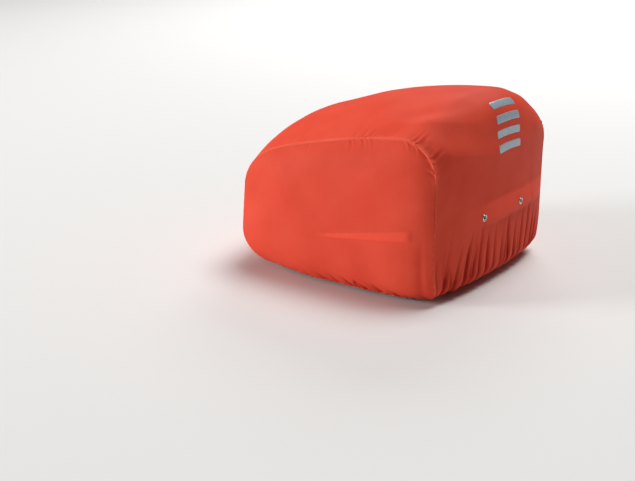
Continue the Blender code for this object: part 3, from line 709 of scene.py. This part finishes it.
# %% [markdown]
# ## Materials
#
# Colours are given as sRGB hex values, as a paint chart would, and one function turns them into the
# linear values that the shaders want. Another adds a node with its settings, constants and links.
# The cloths' patterns read the UV map, which is in metres on the cloth, so a thread keeps its size
# however the cloth is bent.

# %% Helpers for colours and nodes
def linear(hex_color):
    """sRGB to linear: c / 12.92 below 0.04045, else ((c + 0.055) / 1.055) ** 2.4."""
    channels = [int(hex_color[k:k + 2], 16) / 255 for k in (1, 3, 5)]
    turned = [c / 12.92 if c <= 0.04045 else ((c + 0.055) / 1.055) ** 2.4 for c in channels]
    return (*turned, 1.0)


def set_inputs(tree, node, inputs):
    """Gives each input, by its name or number, a constant or the output of another node."""
    for socket, value in inputs.items():
        if isinstance(value, bpy.types.NodeSocket):
            tree.links.new(value, node.inputs[socket])
        else:
            node.inputs[socket].default_value = value


def add_node(tree, kind, inputs={}, output=0, stops=(), **settings):
    """Adds a node and gives back one of its outputs; stops are a colour ramp's (place, hex)."""
    node = tree.nodes.new(kind)
    for name, value in settings.items():
        setattr(node, name, value)
    set_inputs(tree, node, inputs)
    for k, (place, hex_color) in enumerate(stops):
        node.color_ramp.elements[k].position = place
        node.color_ramp.elements[k].color = linear(hex_color)
    return node.outputs[output]


def new_material(name, base_hex, roughness, constants={}):
    """A material with one Principled shader, and that shader; constants are set on its sockets."""
    material = bpy.data.materials.new(name)
    material.use_nodes = True
    tree = material.node_tree
    tree.nodes.clear()
    surface = add_node(tree, "ShaderNodeBsdfPrincipled",
                       {"Base Color": linear(base_hex), "Roughness": roughness, **constants})
    tree.links.new(surface, tree.nodes.new("ShaderNodeOutputMaterial").inputs["Surface"])
    return material, tree, surface.node


# %% [markdown]
# The cover is nylon taffeta with a polyurethane coating: a tight plain weave with a soft satin look,
# and no threads that catch the light one by one. Its threads are about 0.12 mm apart, finer than the
# picture can show, so the weave is drawn at 0.6 mm. Two noises lie over it: a fine one for the
# creases left from folding the cover into its pouch, and a slow one for the dye and the coating.
# Deep in a fold the colour is painted a darker, purer red: painted shade for the shade that falls
# into the folds. Where the cloth lies double it is painted paler: partly the double layer, which lets
# less of the dark bag show through, and partly painted light on the band and the ridge, whose faces
# turn up to the lamp above. The mesh carries both as one attribute. The binding is a tape of the same
# cloth, double, and painted a little paler all over, which is also a painted highlight along the
# raised seam. The bag under the cover is polyester pack cloth: charcoal, duller, with a faint bloom
# of loose fibres.

# %% Coated nylon
THREAD_SPACING = 0.0006
WAVE_PERIOD = 0.3142                 # length of one band of Blender's wave texture at scale 1
CRINKLE_SIZE = 0.006
CRINKLE_DEPTH = 0.0007
CLOUD_SIZE = 0.045
THREAD_DEPTH = 0.00005


def weave(tree, coordinates, depth):
    """Two sets of waves, one per direction of the cloth, whose product is a plain weave's relief."""
    threads = [add_node(tree, "ShaderNodeTexWave", {
        "Scale": WAVE_PERIOD / THREAD_SPACING, "Distortion": 0.0, "Vector": coordinates,
    }, "Fac", wave_type="BANDS", bands_direction=direction) for direction in ("X", "Y")]
    height = add_node(tree, "ShaderNodeMath", dict(enumerate(threads)), operation="MULTIPLY")
    return add_node(tree, "ShaderNodeBump", {"Strength": 0.25, "Distance": depth, "Height": height})


def coated_cloth(name, hexes, roughness, sheen, gloss_level):
    """Satin cloth: weave, crinkle and cloudy dye, all in metres of the cloth.

    hexes are the dye's darker and lighter clouds, the painted shade deep in the folds, and the
    paler one where the cloth lies double, which is partly painted light.
    """
    dark_hex, light_hex, fold_shade_hex, double_and_lit_hex = hexes
    material, tree, shader = new_material(name, light_hex, roughness, {
        "Sheen Weight": sheen, "Sheen Roughness": 0.35, "Specular IOR Level": gloss_level})
    cloth = add_node(tree, "ShaderNodeUVMap", output="UV", uv_map="cloth")
    clouds = add_node(tree, "ShaderNodeTexNoise",
                      {"Scale": 1 / CLOUD_SIZE, "Detail": 3.0, "Vector": cloth}, "Fac")
    dye_and_painted_light = add_node(tree, "ShaderNodeValToRGB", {"Fac": clouds}, "Color",
                   stops=((0.30, dark_hex), (0.70, light_hex)))
    # The mesh's attribute: painted shade in the folds above 0, paler double cloth below 0.
    painted_shade_and_pale = add_node(tree, "ShaderNodeAttribute", output="Fac", attribute_name="painted_shade_and_pale")
    # Painted shade: a darker, purer red deep in the folds. Paler double cloth: partly the double layer,
    # partly painted light.
    for other_hex, none_at, most_at, most in ((fold_shade_hex, 0.10, 0.65, 0.85),
                                              (double_and_lit_hex, 0.0, -1.25, 1.0)):
        share = add_node(tree, "ShaderNodeMapRange", {
            "Value": painted_shade_and_pale, "From Min": none_at, "From Max": most_at, "To Max": most}, "Result")
        dye_and_painted_light = add_node(tree, "ShaderNodeMix", {0: share, 6: dye_and_painted_light, 7: linear(other_hex)}, 2,
                       data_type="RGBA")
    gloss = add_node(tree, "ShaderNodeMapRange", {
        "Value": clouds, "To Min": roughness - 0.05, "To Max": roughness + 0.09}, "Result")
    crinkle = add_node(tree, "ShaderNodeTexNoise", {
        "Scale": 1 / CRINKLE_SIZE, "Detail": 4.0, "Roughness": 0.55, "Vector": cloth}, "Fac")
    bump = add_node(tree, "ShaderNodeBump", {
        "Strength": 0.22, "Distance": CRINKLE_DEPTH, "Height": crinkle,
        "Normal": weave(tree, cloth, THREAD_DEPTH)})
    set_inputs(tree, shader, {"Base Color": dye_and_painted_light, "Roughness": gloss, "Normal": bump})
    return material


# The third colour of each cloth is painted shade deep in the folds; the fourth is paler double cloth,
# partly painted light.
cover_nylon = coated_cloth("nylon_taffeta_coated_coral",
                           ("#DB4A36", "#E2533F", "#9C170D", "#F25743"), 0.50, 0.0, 0.03)
# The binding's colours are paler than the cover's: a double tape, and a painted highlight along the
# raised seam.
binding_nylon = coated_cloth("nylon_binding_coral",
                             ("#E45740", "#EC634C", "#9C170D", "#F25743"), 0.52, 0.0, 0.03)
pack_cloth = coated_cloth("polyester_pack_cloth_charcoal",
                          ("#26272A", "#34353A", "#1C1D1F", "#34353A"), 0.72, 0.25, 0.30)
print("materials:", [m.name for m in bpy.data.materials])

# %% [markdown]
# ## Places of the eyelets
#
# An eyelet is clamped on the cloth, so the cloth is flat under its lips. Its place is looked up on
# the strip's grid, and the points round it are drawn into the plane that it sits in.

# %% Flat seats for the eyelets
EYELET_SPACING = 0.0806
EYELET_RADIUS = 0.0041
HOLE_RADIUS = 0.0029
SEAT_FLAT = 0.0050
SEAT_END = 0.0110


def eyelet_place(side):
    """The rear wall's point at the eyelet's height and distance from the middle, and its normal."""
    wall = strip_smooth[in_rear]
    target = np.array((side * EYELET_SPACING / 2, EYELET_HEIGHT))
    row, column = divmod(int(np.linalg.norm(wall[..., 1:] - target, axis=-1).argmin()), wall.shape[1])
    near = strip_points[in_rear][row - 2:row + 3, column - 3:column + 4].reshape(-1, 3)
    normal = grid_normals(wall)[row, column]
    middle_point = near.mean(axis=0)
    center = np.array((0.0, *target))
    center[0] = middle_point[0] - (normal[1:] @ (target - middle_point[1:])) / normal[0]
    return center, normal


eyelet_places = [eyelet_place(side) for side in (-1, 1)]
for center, normal in eyelet_places:
    offset = strip_points - center
    share = ramp_between(np.linalg.norm(offset, axis=-1), SEAT_END, SEAT_FLAT)
    strip_points -= normal * ((offset @ normal) * share)[..., None]
    print("eyelet at", np.round(center, 4), "facing", np.round(normal, 2))

# %% [markdown]
# ## Cloth pieces
#
# A grid of points becomes a mesh of quads, with its UV map laid flat in metres. Solidify then gives
# the cloth its thickness, inwards, so that the outside stays where the solids have it.

# %% From grid to mesh
COVER_THICKNESS = 0.0005


def grid_faces(rows, columns, closed):
    """Quads (k, below, below right, right) between neighbours of a grid of rows times columns."""
    index = np.arange(rows * columns).reshape(rows, columns)
    if closed:
        index = np.concatenate([index, index[:, :1]], axis=1)
    quads = np.stack([index[:-1, :-1], index[1:, :-1], index[1:, 1:], index[:-1, 1:]], axis=-1)
    return quads.reshape(-1, 4)


def grid_mesh(name, points, uv, closed=False, holes=(), valleys=None):
    """A mesh through a grid of points, with a UV map named cloth. Faces within a hole are left out.

    The depth of the gathers, less the double cloth, is stored in a point attribute for the
    colour: painted shade in the folds, and paler double cloth.
    """
    faces = grid_faces(points.shape[0], points.shape[1], closed)
    places = points.reshape(-1, 3)
    for center, _ in holes:
        distance = np.linalg.norm(places[faces].mean(axis=1) - center, axis=1)
        faces = faces[distance > HOLE_RADIUS]
    used, corners = np.unique(faces, return_inverse=True)
    mesh = bpy.data.meshes.new(name)
    mesh.from_pydata(places[used].tolist(), [], corners.reshape(faces.shape).tolist())
    layer = mesh.uv_layers.new(name="cloth")
    layer.uv.foreach_set("vector", uv.reshape(-1, 2)[faces.ravel()].ravel().astype(np.float32))
    if valleys is not None:
        # Painted shade for the colour of the folds, and paler double cloth below 0.
        painted_shade_and_pale = mesh.attributes.new("painted_shade_and_pale", "FLOAT", "POINT")
        painted_shade_and_pale.data.foreach_set("value", np.clip(valleys.ravel()[used], -1, 1).astype(np.float32))
    mesh.shade_smooth()
    mesh.update()
    return mesh


def add_piece(name, mesh, material, thickness=0):
    """Links a new object, gives it its material, slot and wall, and lets it ride on the one body."""
    piece = bpy.data.objects.new(name, mesh)
    mesh.materials.append(material)
    bpy.context.scene.collection.objects.link(piece)
    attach(piece, "root")
    if thickness:
        wall = piece.modifiers.new("wall", "SOLIDIFY")
        wall.thickness = thickness
        wall.offset = -1.0
    return piece


# %% Strip and side panels
def flat_uv(points):
    """Distances run down the grid's middle column and along each row, in metres."""
    down = path_lengths(points[:, points.shape[1] // 2])
    steps = np.linalg.norm(np.diff(points, axis=1), axis=-1)
    along = np.concatenate([np.zeros((len(points), 1)), np.cumsum(steps, axis=1)], axis=1)
    along -= along[:, -1:] / 2
    return np.stack([along, np.broadcast_to(down[:, None], along.shape)], axis=-1)


def cloth_area(points):
    """Sum over the grid of |a x b| for the two sides of each cell."""
    sides = np.cross(points[1:, :-1] - points[:-1, :-1], points[:-1, 1:] - points[:-1, :-1])
    return float(np.linalg.norm(sides, axis=-1).sum())


strip_points[..., 1] *= 1 - SEAM_EDGE / SEAM_HALF_WIDTH
strip_mesh = grid_mesh("cover_strip", strip_points, flat_uv(strip_points), holes=eyelet_places,
                       valleys=strip_valleys)
cover_strip = add_piece("cover_strip", strip_mesh, cover_nylon, COVER_THICKNESS)
for side, label in ((-1, "left"), (1, "right")):
    points, valleys = side_grids[side]
    mesh = grid_mesh("cover_side_" + label, points, flat_uv(points), valleys=valleys)
    add_piece("cover_side_" + label, mesh, cover_nylon,
                                  COVER_THICKNESS)
    print("side", label, "area, square metres:", round(cloth_area(points), 4))
print("strip area, square metres:", round(cloth_area(strip_points), 4))

# %% [markdown]
# ## Seams
#
# Each side panel is sewn to the strip with a narrow folded binding. Where the longer edge is eased
# into the shorter one the binding puckers. It is a tube whose radius and height swell and shrink
# along the seam, with the strongest puckers where the cloth has them too. Down the corners it is
# thinner, and lies a little deeper in the cloth.

# %% Tubes
TUBE_UV_STEP = 0.001
MERGE_DISTANCE = 0.00001


def tube_rings(path, first, second, first_radius, second_radius, count):
    """Points path + first * r1 cos(t) + second * r2 sin(t), one ring per point of the path."""
    turn = np.linspace(0, math.tau, count, endpoint=False)
    return (path[:, None] + first[:, None] * (first_radius[:, None] * np.cos(turn))[..., None]
            + second[:, None] * (second_radius[:, None] * np.sin(turn))[..., None])


def resampled(path, step):
    """The same path with points a fixed distance apart, and their run."""
    run = path_lengths(path)
    wanted = np.linspace(0, run[-1], int(run[-1] / step) + 1)
    return looked_up(wanted, run, path), wanted


def capped(points):
    """Closes a tube's ends: the first and last ring are drawn together to their middle."""
    start = np.broadcast_to(points[:1].mean(axis=1, keepdims=True), points[:1].shape)
    end = np.broadcast_to(points[-1:].mean(axis=1, keepdims=True), points[-1:].shape)
    return np.concatenate([start, points, end])


def tube_uv(points, run):
    """Distance along the tube, and round it, in metres."""
    around = np.arange(points.shape[1]) * TUBE_UV_STEP
    return np.stack(np.broadcast_arrays(run[:, None], around[None, :]), axis=-1)


def outward_mesh(name, points, uv):
    """A closed tube's mesh with its ends merged to a point and its faces turned outwards."""
    mesh = grid_mesh(name, points, uv, closed=True)
    tube = bmesh.new()
    tube.from_mesh(mesh)
    bmesh.ops.remove_doubles(tube, verts=tube.verts[:], dist=MERGE_DISTANCE)
    bmesh.ops.recalc_face_normals(tube, faces=tube.faces[:])
    tube.to_mesh(mesh)
    tube.free()
    return mesh


# %% Binding tubes
BINDING_RADIUS = 0.0015
BINDING_WIDTH = 1.2                  # half width across the seam, in shares of the radius
BINDING_SIDES = 12
BINDING_STEP = 0.0016
BINDING_SINK = -0.0004               # down the corners
BINDING_LENGTHS = (0.0052, 0.0069, 0.0088)


def seam_line(side):
    """The seam's path in space, and the direction that points out of the edge."""
    half = SEAM_HALF_WIDTH - tuck(seam[:, 1])
    line = np.stack([seam[:, 0], side * half, seam[:, 1]], axis=-1)[1:-1]
    tangent = np.gradient(seam, axis=0)[1:-1]
    out = unit(np.stack([-tangent[:, 1], np.zeros(len(line)), tangent[:, 0]], axis=-1)) + (0, side, 0)
    lift = np.interp(welt_share(line[:, 2]), (WELT_LEAST, 1.0), (BINDING_SINK, 0.0))
    return line + out * lift[:, None], out


for side, label in ((-1, "left"), (1, "right")):
    line, out = seam_line(side)
    path, run = resampled(line, BINDING_STEP)
    out = looked_up(run, path_lengths(line), out)
    strength = np.interp(run, seam_run, pucker_share)
    ripple = ripples(run, BINDING_LENGTHS, 60 + side) / 3
    flattened = 0.35 + 0.65 * welt_share(path[:, 2])
    outward = BINDING_RADIUS * (1 + 0.55 * strength * ripple) * flattened
    across = BINDING_RADIUS * (BINDING_WIDTH + 0.10 * strength * np.roll(ripple, 3))
    across *= 0.4 + 0.6 * flattened
    tangent = unit(np.gradient(path, axis=0))
    up = unit(out - tangent * (out * tangent).sum(axis=1)[:, None])
    tube = capped(tube_rings(path, up, np.cross(tangent, up), outward, across, BINDING_SIDES))
    run = np.concatenate([[run[0]], run, [run[-1]]])
    mesh = outward_mesh("seam_binding_" + label, tube, tube_uv(tube, run))
    add_piece("seam_binding_" + label, mesh, binding_nylon)
    print("binding", label, "length, metres:", round(float(run[-1]), 3))


# %% [markdown]
# ## Hem
#
# The lower edge is folded round an elastic. The elastic is shorter than the edge, so the casing
# stands in small tight ruffles all the way round. The loop follows the four lower edges, smoothed,
# and its tube swells and shrinks every few millimetres. Each ripple's length is rounded so that a
# whole number of them goes round.

# %% Gathered hem
HEM_RADIUS = 0.0021
HEM_STEP = 0.0012
HEM_INSET = 0.0016
HEM_LIFT = 0.0004
HEM_FLATNESS = 0.9
HEM_SIDES = 14
RUFFLE = 0.28
RUFFLE_LENGTHS = (0.0046, 0.0061, 0.0083)


def smoothed(loop, reach):
    """Mean over the neighbours within reach points, round a closed loop."""
    return np.mean([np.roll(loop, shift, axis=0) for shift in range(-reach, reach + 1)], axis=0)


hem_edge = np.concatenate([strip_points[0, ::-1], side_grids[-1][0][-1, 2:-2], strip_points[-1],
                           side_grids[1][0][-1, 2:-2]])
hem_edge, _ = resampled(np.concatenate([hem_edge, hem_edge[:1]]), HEM_STEP)
hem_edge = smoothed(hem_edge[:-1], 5)
hem_edge[:, 2] = HEM_HEIGHT + HEM_LIFT
tangent = unit(np.roll(hem_edge, -1, axis=0) - np.roll(hem_edge, 1, axis=0))
inward = np.stack([-tangent[:, 1], tangent[:, 0], 0 * tangent[:, 0]], axis=-1)
hem_line = hem_edge + inward * HEM_INSET
hem_run = path_lengths(hem_line)
loop_length = hem_run[-1] + np.linalg.norm(hem_line[0] - hem_line[-1])
whole_lengths = [loop_length / np.round(loop_length / length) for length in RUFFLE_LENGTHS]
radius = HEM_RADIUS * (1 + RUFFLE * ripples(hem_run, whole_lengths, 90) / 3)
upwards = np.array([(0, 0, 1.0)])
hem_tube = tube_rings(hem_line, -inward, upwards, radius, HEM_FLATNESS * radius, HEM_SIDES)
hem_tube = np.concatenate([hem_tube, hem_tube[:1]])
hem_uv = tube_uv(hem_tube, np.append(hem_run, loop_length))
# The hem uses the binding's cloth, with its paler colour and painted highlight.
hem = add_piece("hem_casing_gathered", outward_mesh("hem_casing_gathered", hem_tube, hem_uv),
                binding_nylon)
print("hem loop, metres:", round(float(loop_length), 3))

# %% [markdown]
# ## Eyelets
#
# The two eyelets are brass, pressed and nickel plated: a rolled lip on the outside, a neck through
# the cloth and a flatter lip behind. Each is one profile turned round its axis. The plating gives a
# warm, pale metal with sharp highlights, which handling has dulled in small patches.

# %% Nickel plated brass
WEAR_SIZE = 1 / 900
nickel, tree, shader = new_material("brass_nickel_plated", "#C9C6BF", 0.24, {"Metallic": 1.0})
place = add_node(tree, "ShaderNodeTexCoord", output="Object")
wear = add_node(tree, "ShaderNodeTexNoise",
                {"Scale": 1 / WEAR_SIZE, "Detail": 2.0, "Vector": place}, "Fac")
set_inputs(tree, shader, {
    "Base Color": add_node(tree, "ShaderNodeValToRGB", {"Fac": wear}, "Color",
                           stops=((0.35, "#B4B0A8"), (0.65, "#D8D5CE"))),
    "Roughness": add_node(tree, "ShaderNodeMapRange", {"Value": wear, "To Min": 0.16, "To Max": 0.34},
                          "Result")})

# %% Eyelets
EYELET_BORE = 0.0021
EYELET_NECK = 0.0028
LIP_HEIGHT = 0.0010
EYELET_COUNT = 48                    # points round each ring
EYELET_UV_STEP = 0.0005


def eyelet_profile():
    """Radius and height round the section: half a circle over the lip, the bore and the back lip."""
    roll = np.linspace(0, math.pi, 9)
    center, half = (EYELET_RADIUS + EYELET_BORE) / 2, (EYELET_RADIUS - EYELET_BORE) / 2
    front = np.stack([center + half * np.cos(roll), LIP_HEIGHT * np.sin(roll) ** 0.7], axis=-1)
    back = np.array((
        (EYELET_BORE, -0.0014), (EYELET_BORE + 0.0003, -0.0017),
        (EYELET_RADIUS - 0.0006, -0.0017), (EYELET_RADIUS - 0.0003, -0.0014),
        (EYELET_RADIUS - 0.0005, -0.0011), (EYELET_NECK, -0.0010), (EYELET_NECK, -0.0001)))
    return np.concatenate([front, back, front[:1]])


radius, height = eyelet_profile().T
side_on, square, axis = np.eye(3)[:, None]
lathed = tube_rings(height[:, None] * axis, side_on, square, radius, radius, EYELET_COUNT)
for (center, normal), label in zip(eyelet_places, ("left", "right")):
    basis = np.array(Vector(normal).to_track_quat("Z", "Y").to_matrix())
    rings = lathed @ basis.T + center
    run = np.arange(len(rings)) * EYELET_UV_STEP
    mesh = outward_mesh("eyelet_ring_" + label, rings, tube_uv(rings, run))
    add_piece("eyelet_ring_" + label, mesh, nickel)

# %% [markdown]
# ## Reflective bars
#
# High on the rear the cover has a patch of reflective transfer, here as four plain bars. A transfer
# is a film a fraction of a millimetre thick, so each bar is a thin patch whose points are looked up
# on the strip and set out along its normals. The film is a layer of glass beads under a thin clear
# coat: a cool, even grey with a very fine grain.

# %% Film of reflective transfer
BEAD_SIZE = 0.0011                   # real beads are 0.05 mm, too fine to show
BEAD_DEPTH = 0.0001
film, tree, shader = new_material("reflective_transfer_film", "#9FAEB8", 0.40, {
    "Metallic": 0.15, "Coat Weight": 0.3, "Coat Roughness": 0.2})
cloth = add_node(tree, "ShaderNodeUVMap", output="UV", uv_map="cloth")
beads = add_node(tree, "ShaderNodeTexVoronoi", {"Scale": 1 / BEAD_SIZE, "Vector": cloth}, "Distance")
set_inputs(tree, shader, {
    "Base Color": add_node(tree, "ShaderNodeValToRGB", {"Fac": beads}, "Color",
                           stops=((0.1, "#B4C2CC"), (0.8, "#97A5B0"))),
    "Normal": add_node(tree, "ShaderNodeBump",
                       {"Strength": 0.3, "Distance": BEAD_DEPTH, "Height": beads})})

# %% The four bars
BAR_COUNT = 4
BAR_WIDTH = 0.052
BAR_HEIGHT = 0.0082
BAR_GAP = 0.0068
BAR_TOP = 0.424                      # run along the strip's middle to the first bar
BAR_MIDDLE = 0.006
BAR_CORNER = 0.0014
FILM_THICKNESS = 0.00018
FILM_CLEARANCE = 0.00012


def on_strip(grid, across, run):
    """Looks a place up on the strip's grid: a mean of the four nearest points by their nearness."""
    column = (across + 1) / 2 * STRIP_COLUMNS
    row = np.interp(run, strip_run, np.arange(len(strip_run)))
    c, r = np.floor(column).astype(int), np.floor(row).astype(int)
    u, v = (column - c)[..., None], (row - r)[..., None]
    return ((grid[r, c] * (1 - u) + grid[r, c + 1] * u) * (1 - v)
            + (grid[r + 1, c] * (1 - u) + grid[r + 1, c + 1] * u) * v)


strip_normals = grid_normals(strip_points)
down, sideways = np.linspace(0, 1, 9)[:, None], np.linspace(-1, 1, 61)[None, :]
corner = BAR_CORNER * (1 - np.sqrt(1 - 0.999 * (2 * down - 1) ** 4))
across = (BAR_MIDDLE + sideways * (BAR_WIDTH / 2 - corner)) / SEAM_HALF_WIDTH
for k in range(BAR_COUNT):
    run = np.broadcast_to(BAR_TOP + k * (BAR_HEIGHT + BAR_GAP) + down * BAR_HEIGHT, across.shape)
    outwards = on_strip(strip_normals, across, run) * (FILM_THICKNESS + FILM_CLEARANCE)
    uv = np.stack([across * SEAM_HALF_WIDTH, run], axis=-1)
    name = f"reflective_bar_{k + 1}"
    mesh = grid_mesh(name, on_strip(strip_points, across, run) + outwards, uv)
    add_piece(name, mesh, film, FILM_THICKNESS)

# %% [markdown]
# ## The bag inside
#
# Nothing of the bag shows but its underside, in the ring between the hem and the stiff plate. It is a
# shell like a deep tray: its rings run from the middle of the floor outwards and then up the walls,
# and each is a rounded rectangle.

# %% Body of the bag
BODY_FLOOR = 0.0104
BODY_TOP = 0.1165
BODY_EDGE = 0.0110                   # radius between floor and walls
BODY_CLEARANCE = 0.0058
BODY_WALL = 0.0028
FLOOR_RINGS, EDGE_RINGS, WALL_RINGS = 12, 8, 29
RING_COUNT = 168


def body_rings():
    """Rings |x / a| ** 5 + |y / b| ** 5 = 1, with a and b from the seam's outline at their height."""
    turn = np.linspace(0, math.tau, RING_COUNT, endpoint=False)
    cos, sin = np.cos(turn), np.sin(turn)
    reach = (np.abs(cos) ** 5 + np.abs(sin) ** 5) ** (-1 / 5)
    bend = np.linspace(0, math.pi / 2, EDGE_RINGS + 1)[1:]
    walls = np.linspace(BODY_FLOOR + BODY_EDGE, BODY_TOP, WALL_RINGS + 1)[1:]
    heights = np.concatenate([np.full(FLOOR_RINGS, BODY_FLOOR),
                              BODY_FLOOR + BODY_EDGE * (1 - np.cos(bend)), walls])
    inset = BODY_CLEARANCE + np.concatenate([np.full(FLOOR_RINGS, BODY_EDGE),
                                             BODY_EDGE * (1 - np.sin(bend)), 0 * walls])
    scale = np.append(np.linspace(0, 1, FLOOR_RINGS), np.ones(EDGE_RINGS + WALL_RINGS))
    low, high = row_starts[3], row_starts[5]
    front = np.interp(heights, seam[:low, 1], seam[:low, 0])
    rear = np.interp(heights, seam[high:, 1][::-1], seam[high:, 0][::-1])
    half_length = ((rear - front) / 2 - inset) * scale
    half_width = (SEAM_HALF_WIDTH - tuck(heights) - inset) * scale
    x = (front + rear)[:, None] / 2 + half_length[:, None] * reach * cos
    y = half_width[:, None] * reach * sin
    return np.stack([x, y, np.broadcast_to(heights[:, None], x.shape)], axis=-1)


rings = body_rings()
body_uv = np.stack([rings[..., 0], rings[..., 1] + rings[..., 2]], axis=-1)
bag_body = add_piece("bag_body", outward_mesh("bag_body", rings, body_uv), pack_cloth,
                     BODY_WALL)
print("body of the bag reaches", np.round(rings.reshape(-1, 3).min(axis=0), 3), "to",
      np.round(rings.reshape(-1, 3).max(axis=0), 3))

# %% [markdown]
# The lid and the stiff plate keep the shape that they were packed with. The lid gets a charcoal
# polyester whose weave follows the object's own axes: a dull cloth with a faint bloom where it turns
# away. The plate is moulded polypropylene: black, with the fine even grain that the mould was etched
# with, which spreads its highlights.

# %% Lid and base plate
LID_CLOUD_SIZE = 1 / 60
LID_THREAD_DEPTH = 0.00006
GRAIN_SIZE = 0.0012
GRAIN_DEPTH = 0.0002

lid_cloth, tree, shader = new_material("polyester_lid_cloth_charcoal", "#2C2D30", 0.72,
                                       {"Sheen Weight": 0.25})
place = add_node(tree, "ShaderNodeTexCoord", output="Object")
clouds = add_node(tree, "ShaderNodeTexNoise", {"Scale": 1 / LID_CLOUD_SIZE, "Vector": place}, "Fac")
set_inputs(tree, shader, {
    "Base Color": add_node(tree, "ShaderNodeValToRGB", {"Fac": clouds}, "Color",
                           stops=((0.3, "#26272A"), (0.7, "#34353A"))),
    "Normal": weave(tree, place, LID_THREAD_DEPTH)})

plastic, tree, shader = new_material("polypropylene_moulded_black", "#17181A", 0.48)
place = add_node(tree, "ShaderNodeTexCoord", output="Object")
grain = add_node(tree, "ShaderNodeTexNoise",
                 {"Scale": 1 / GRAIN_SIZE, "Detail": 3.0, "Vector": place}, "Fac")
set_inputs(tree, shader, {
    "Base Color": add_node(tree, "ShaderNodeValToRGB", {"Fac": grain}, "Color",
                           stops=((0.3, "#141517"), (0.7, "#1E1F22"))),
    "Normal": add_node(tree, "ShaderNodeBump",
                       {"Strength": 0.35, "Distance": GRAIN_DEPTH, "Height": grain})})

for node, material in (("bag_lid", lid_cloth), ("base_plate", plastic)):
    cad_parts[node].data.materials.clear()
    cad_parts[node].data.materials.append(material)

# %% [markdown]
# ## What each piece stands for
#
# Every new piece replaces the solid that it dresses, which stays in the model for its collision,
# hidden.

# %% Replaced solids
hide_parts("cover_center_panel")
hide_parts("cover_side_panel_left")
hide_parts("cover_side_panel_right")
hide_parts("seam_piping_left")
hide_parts("seam_piping_right")
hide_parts("hem_casing")
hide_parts("eyelet_left")
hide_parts("eyelet_right")
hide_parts("bag_tub")

# %% [markdown]
# ## Floor, light and camera
#
# The floor is plain and pale. One soft light stands low on the front left and lights the side; a
# larger one hangs high above and lights the top; a weak one opens the shade that the rear falls into.
# The camera looks from behind and to the left, from a little above.

# %% Floor
FLOOR_REACH = 14.0
corners = [(-FLOOR_REACH, -FLOOR_REACH, 0), (FLOOR_REACH, -FLOOR_REACH, 0),
           (FLOOR_REACH, FLOOR_REACH, 0), (-FLOOR_REACH, FLOOR_REACH, 0)]
floor_mesh = bpy.data.meshes.new("floor")
floor_mesh.from_pydata(corners, [], [(0, 1, 2, 3)])
floor = bpy.data.objects.new("floor", floor_mesh)
floor_paint, _, _ = new_material("floor_matt_white", "#E8E7E5", 0.85)
floor_mesh.materials.append(floor_paint)
bpy.context.scene.collection.objects.link(floor)

# %% Light
WORLD_LIGHT = 0.08
LIGHTS = (
    # name, place, target, size, power
    ("key", (-2.6, -2.45, 0.75), (0, 0, 0.1), 1.2, 110),
    ("top", (0.9, 1.3, 5.3), (0, 0, 0.1), 2.6, 214),
    ("back", (-1.0, 2.5, 1.9), (-1.0, 2.1, 0), 1.6, 40),
)
for name, place, target, size, power in LIGHTS:
    lamp = bpy.data.lights.new(name, "AREA")
    lamp.energy, lamp.size = power, size
    holder = bpy.data.objects.new(name, lamp)
    turned = (Vector(target) - Vector(place)).to_track_quat("-Z", "Y").to_matrix().to_4x4()
    holder.matrix_world = Matrix.Translation(place) @ turned
    bpy.context.scene.collection.objects.link(holder)
world = bpy.data.worlds.new("studio")
bpy.context.scene.world = world
world.use_nodes = True
set_inputs(world.node_tree, world.node_tree.nodes["Background"],
           {"Color": (1, 1, 1, 1), "Strength": WORLD_LIGHT})
bpy.context.scene.view_settings.view_transform = "Standard"
print("lights:", [light[0] for light in LIGHTS])

# %% Camera
IMAGE_WIDTH = 635
FOCAL_PIXELS = 1144
AZIMUTH, PITCH = math.radians(35.68), math.radians(17.92)
CAMERA_PLACE = (0.6568, -1.0539, 0.4188)
SENSOR = 36.0
view = Vector((-math.sin(AZIMUTH) * math.cos(PITCH), math.cos(AZIMUTH) * math.cos(PITCH),
               -math.sin(PITCH)))
rightward = Vector((math.cos(AZIMUTH), math.sin(AZIMUTH), 0))
upward = rightward.cross(view)
lens = bpy.data.cameras.new("camera")
lens.sensor_width = SENSOR
lens.lens = FOCAL_PIXELS / IMAGE_WIDTH * SENSOR
camera = bpy.data.objects.new("camera", lens)
camera.matrix_world = Matrix.Translation(CAMERA_PLACE) @ Matrix(
    (rightward, upward, -view)).transposed().to_4x4()
bpy.context.scene.collection.objects.link(camera)
bpy.context.scene.camera = camera
print("focal length, mm:", round(lens.lens, 2))
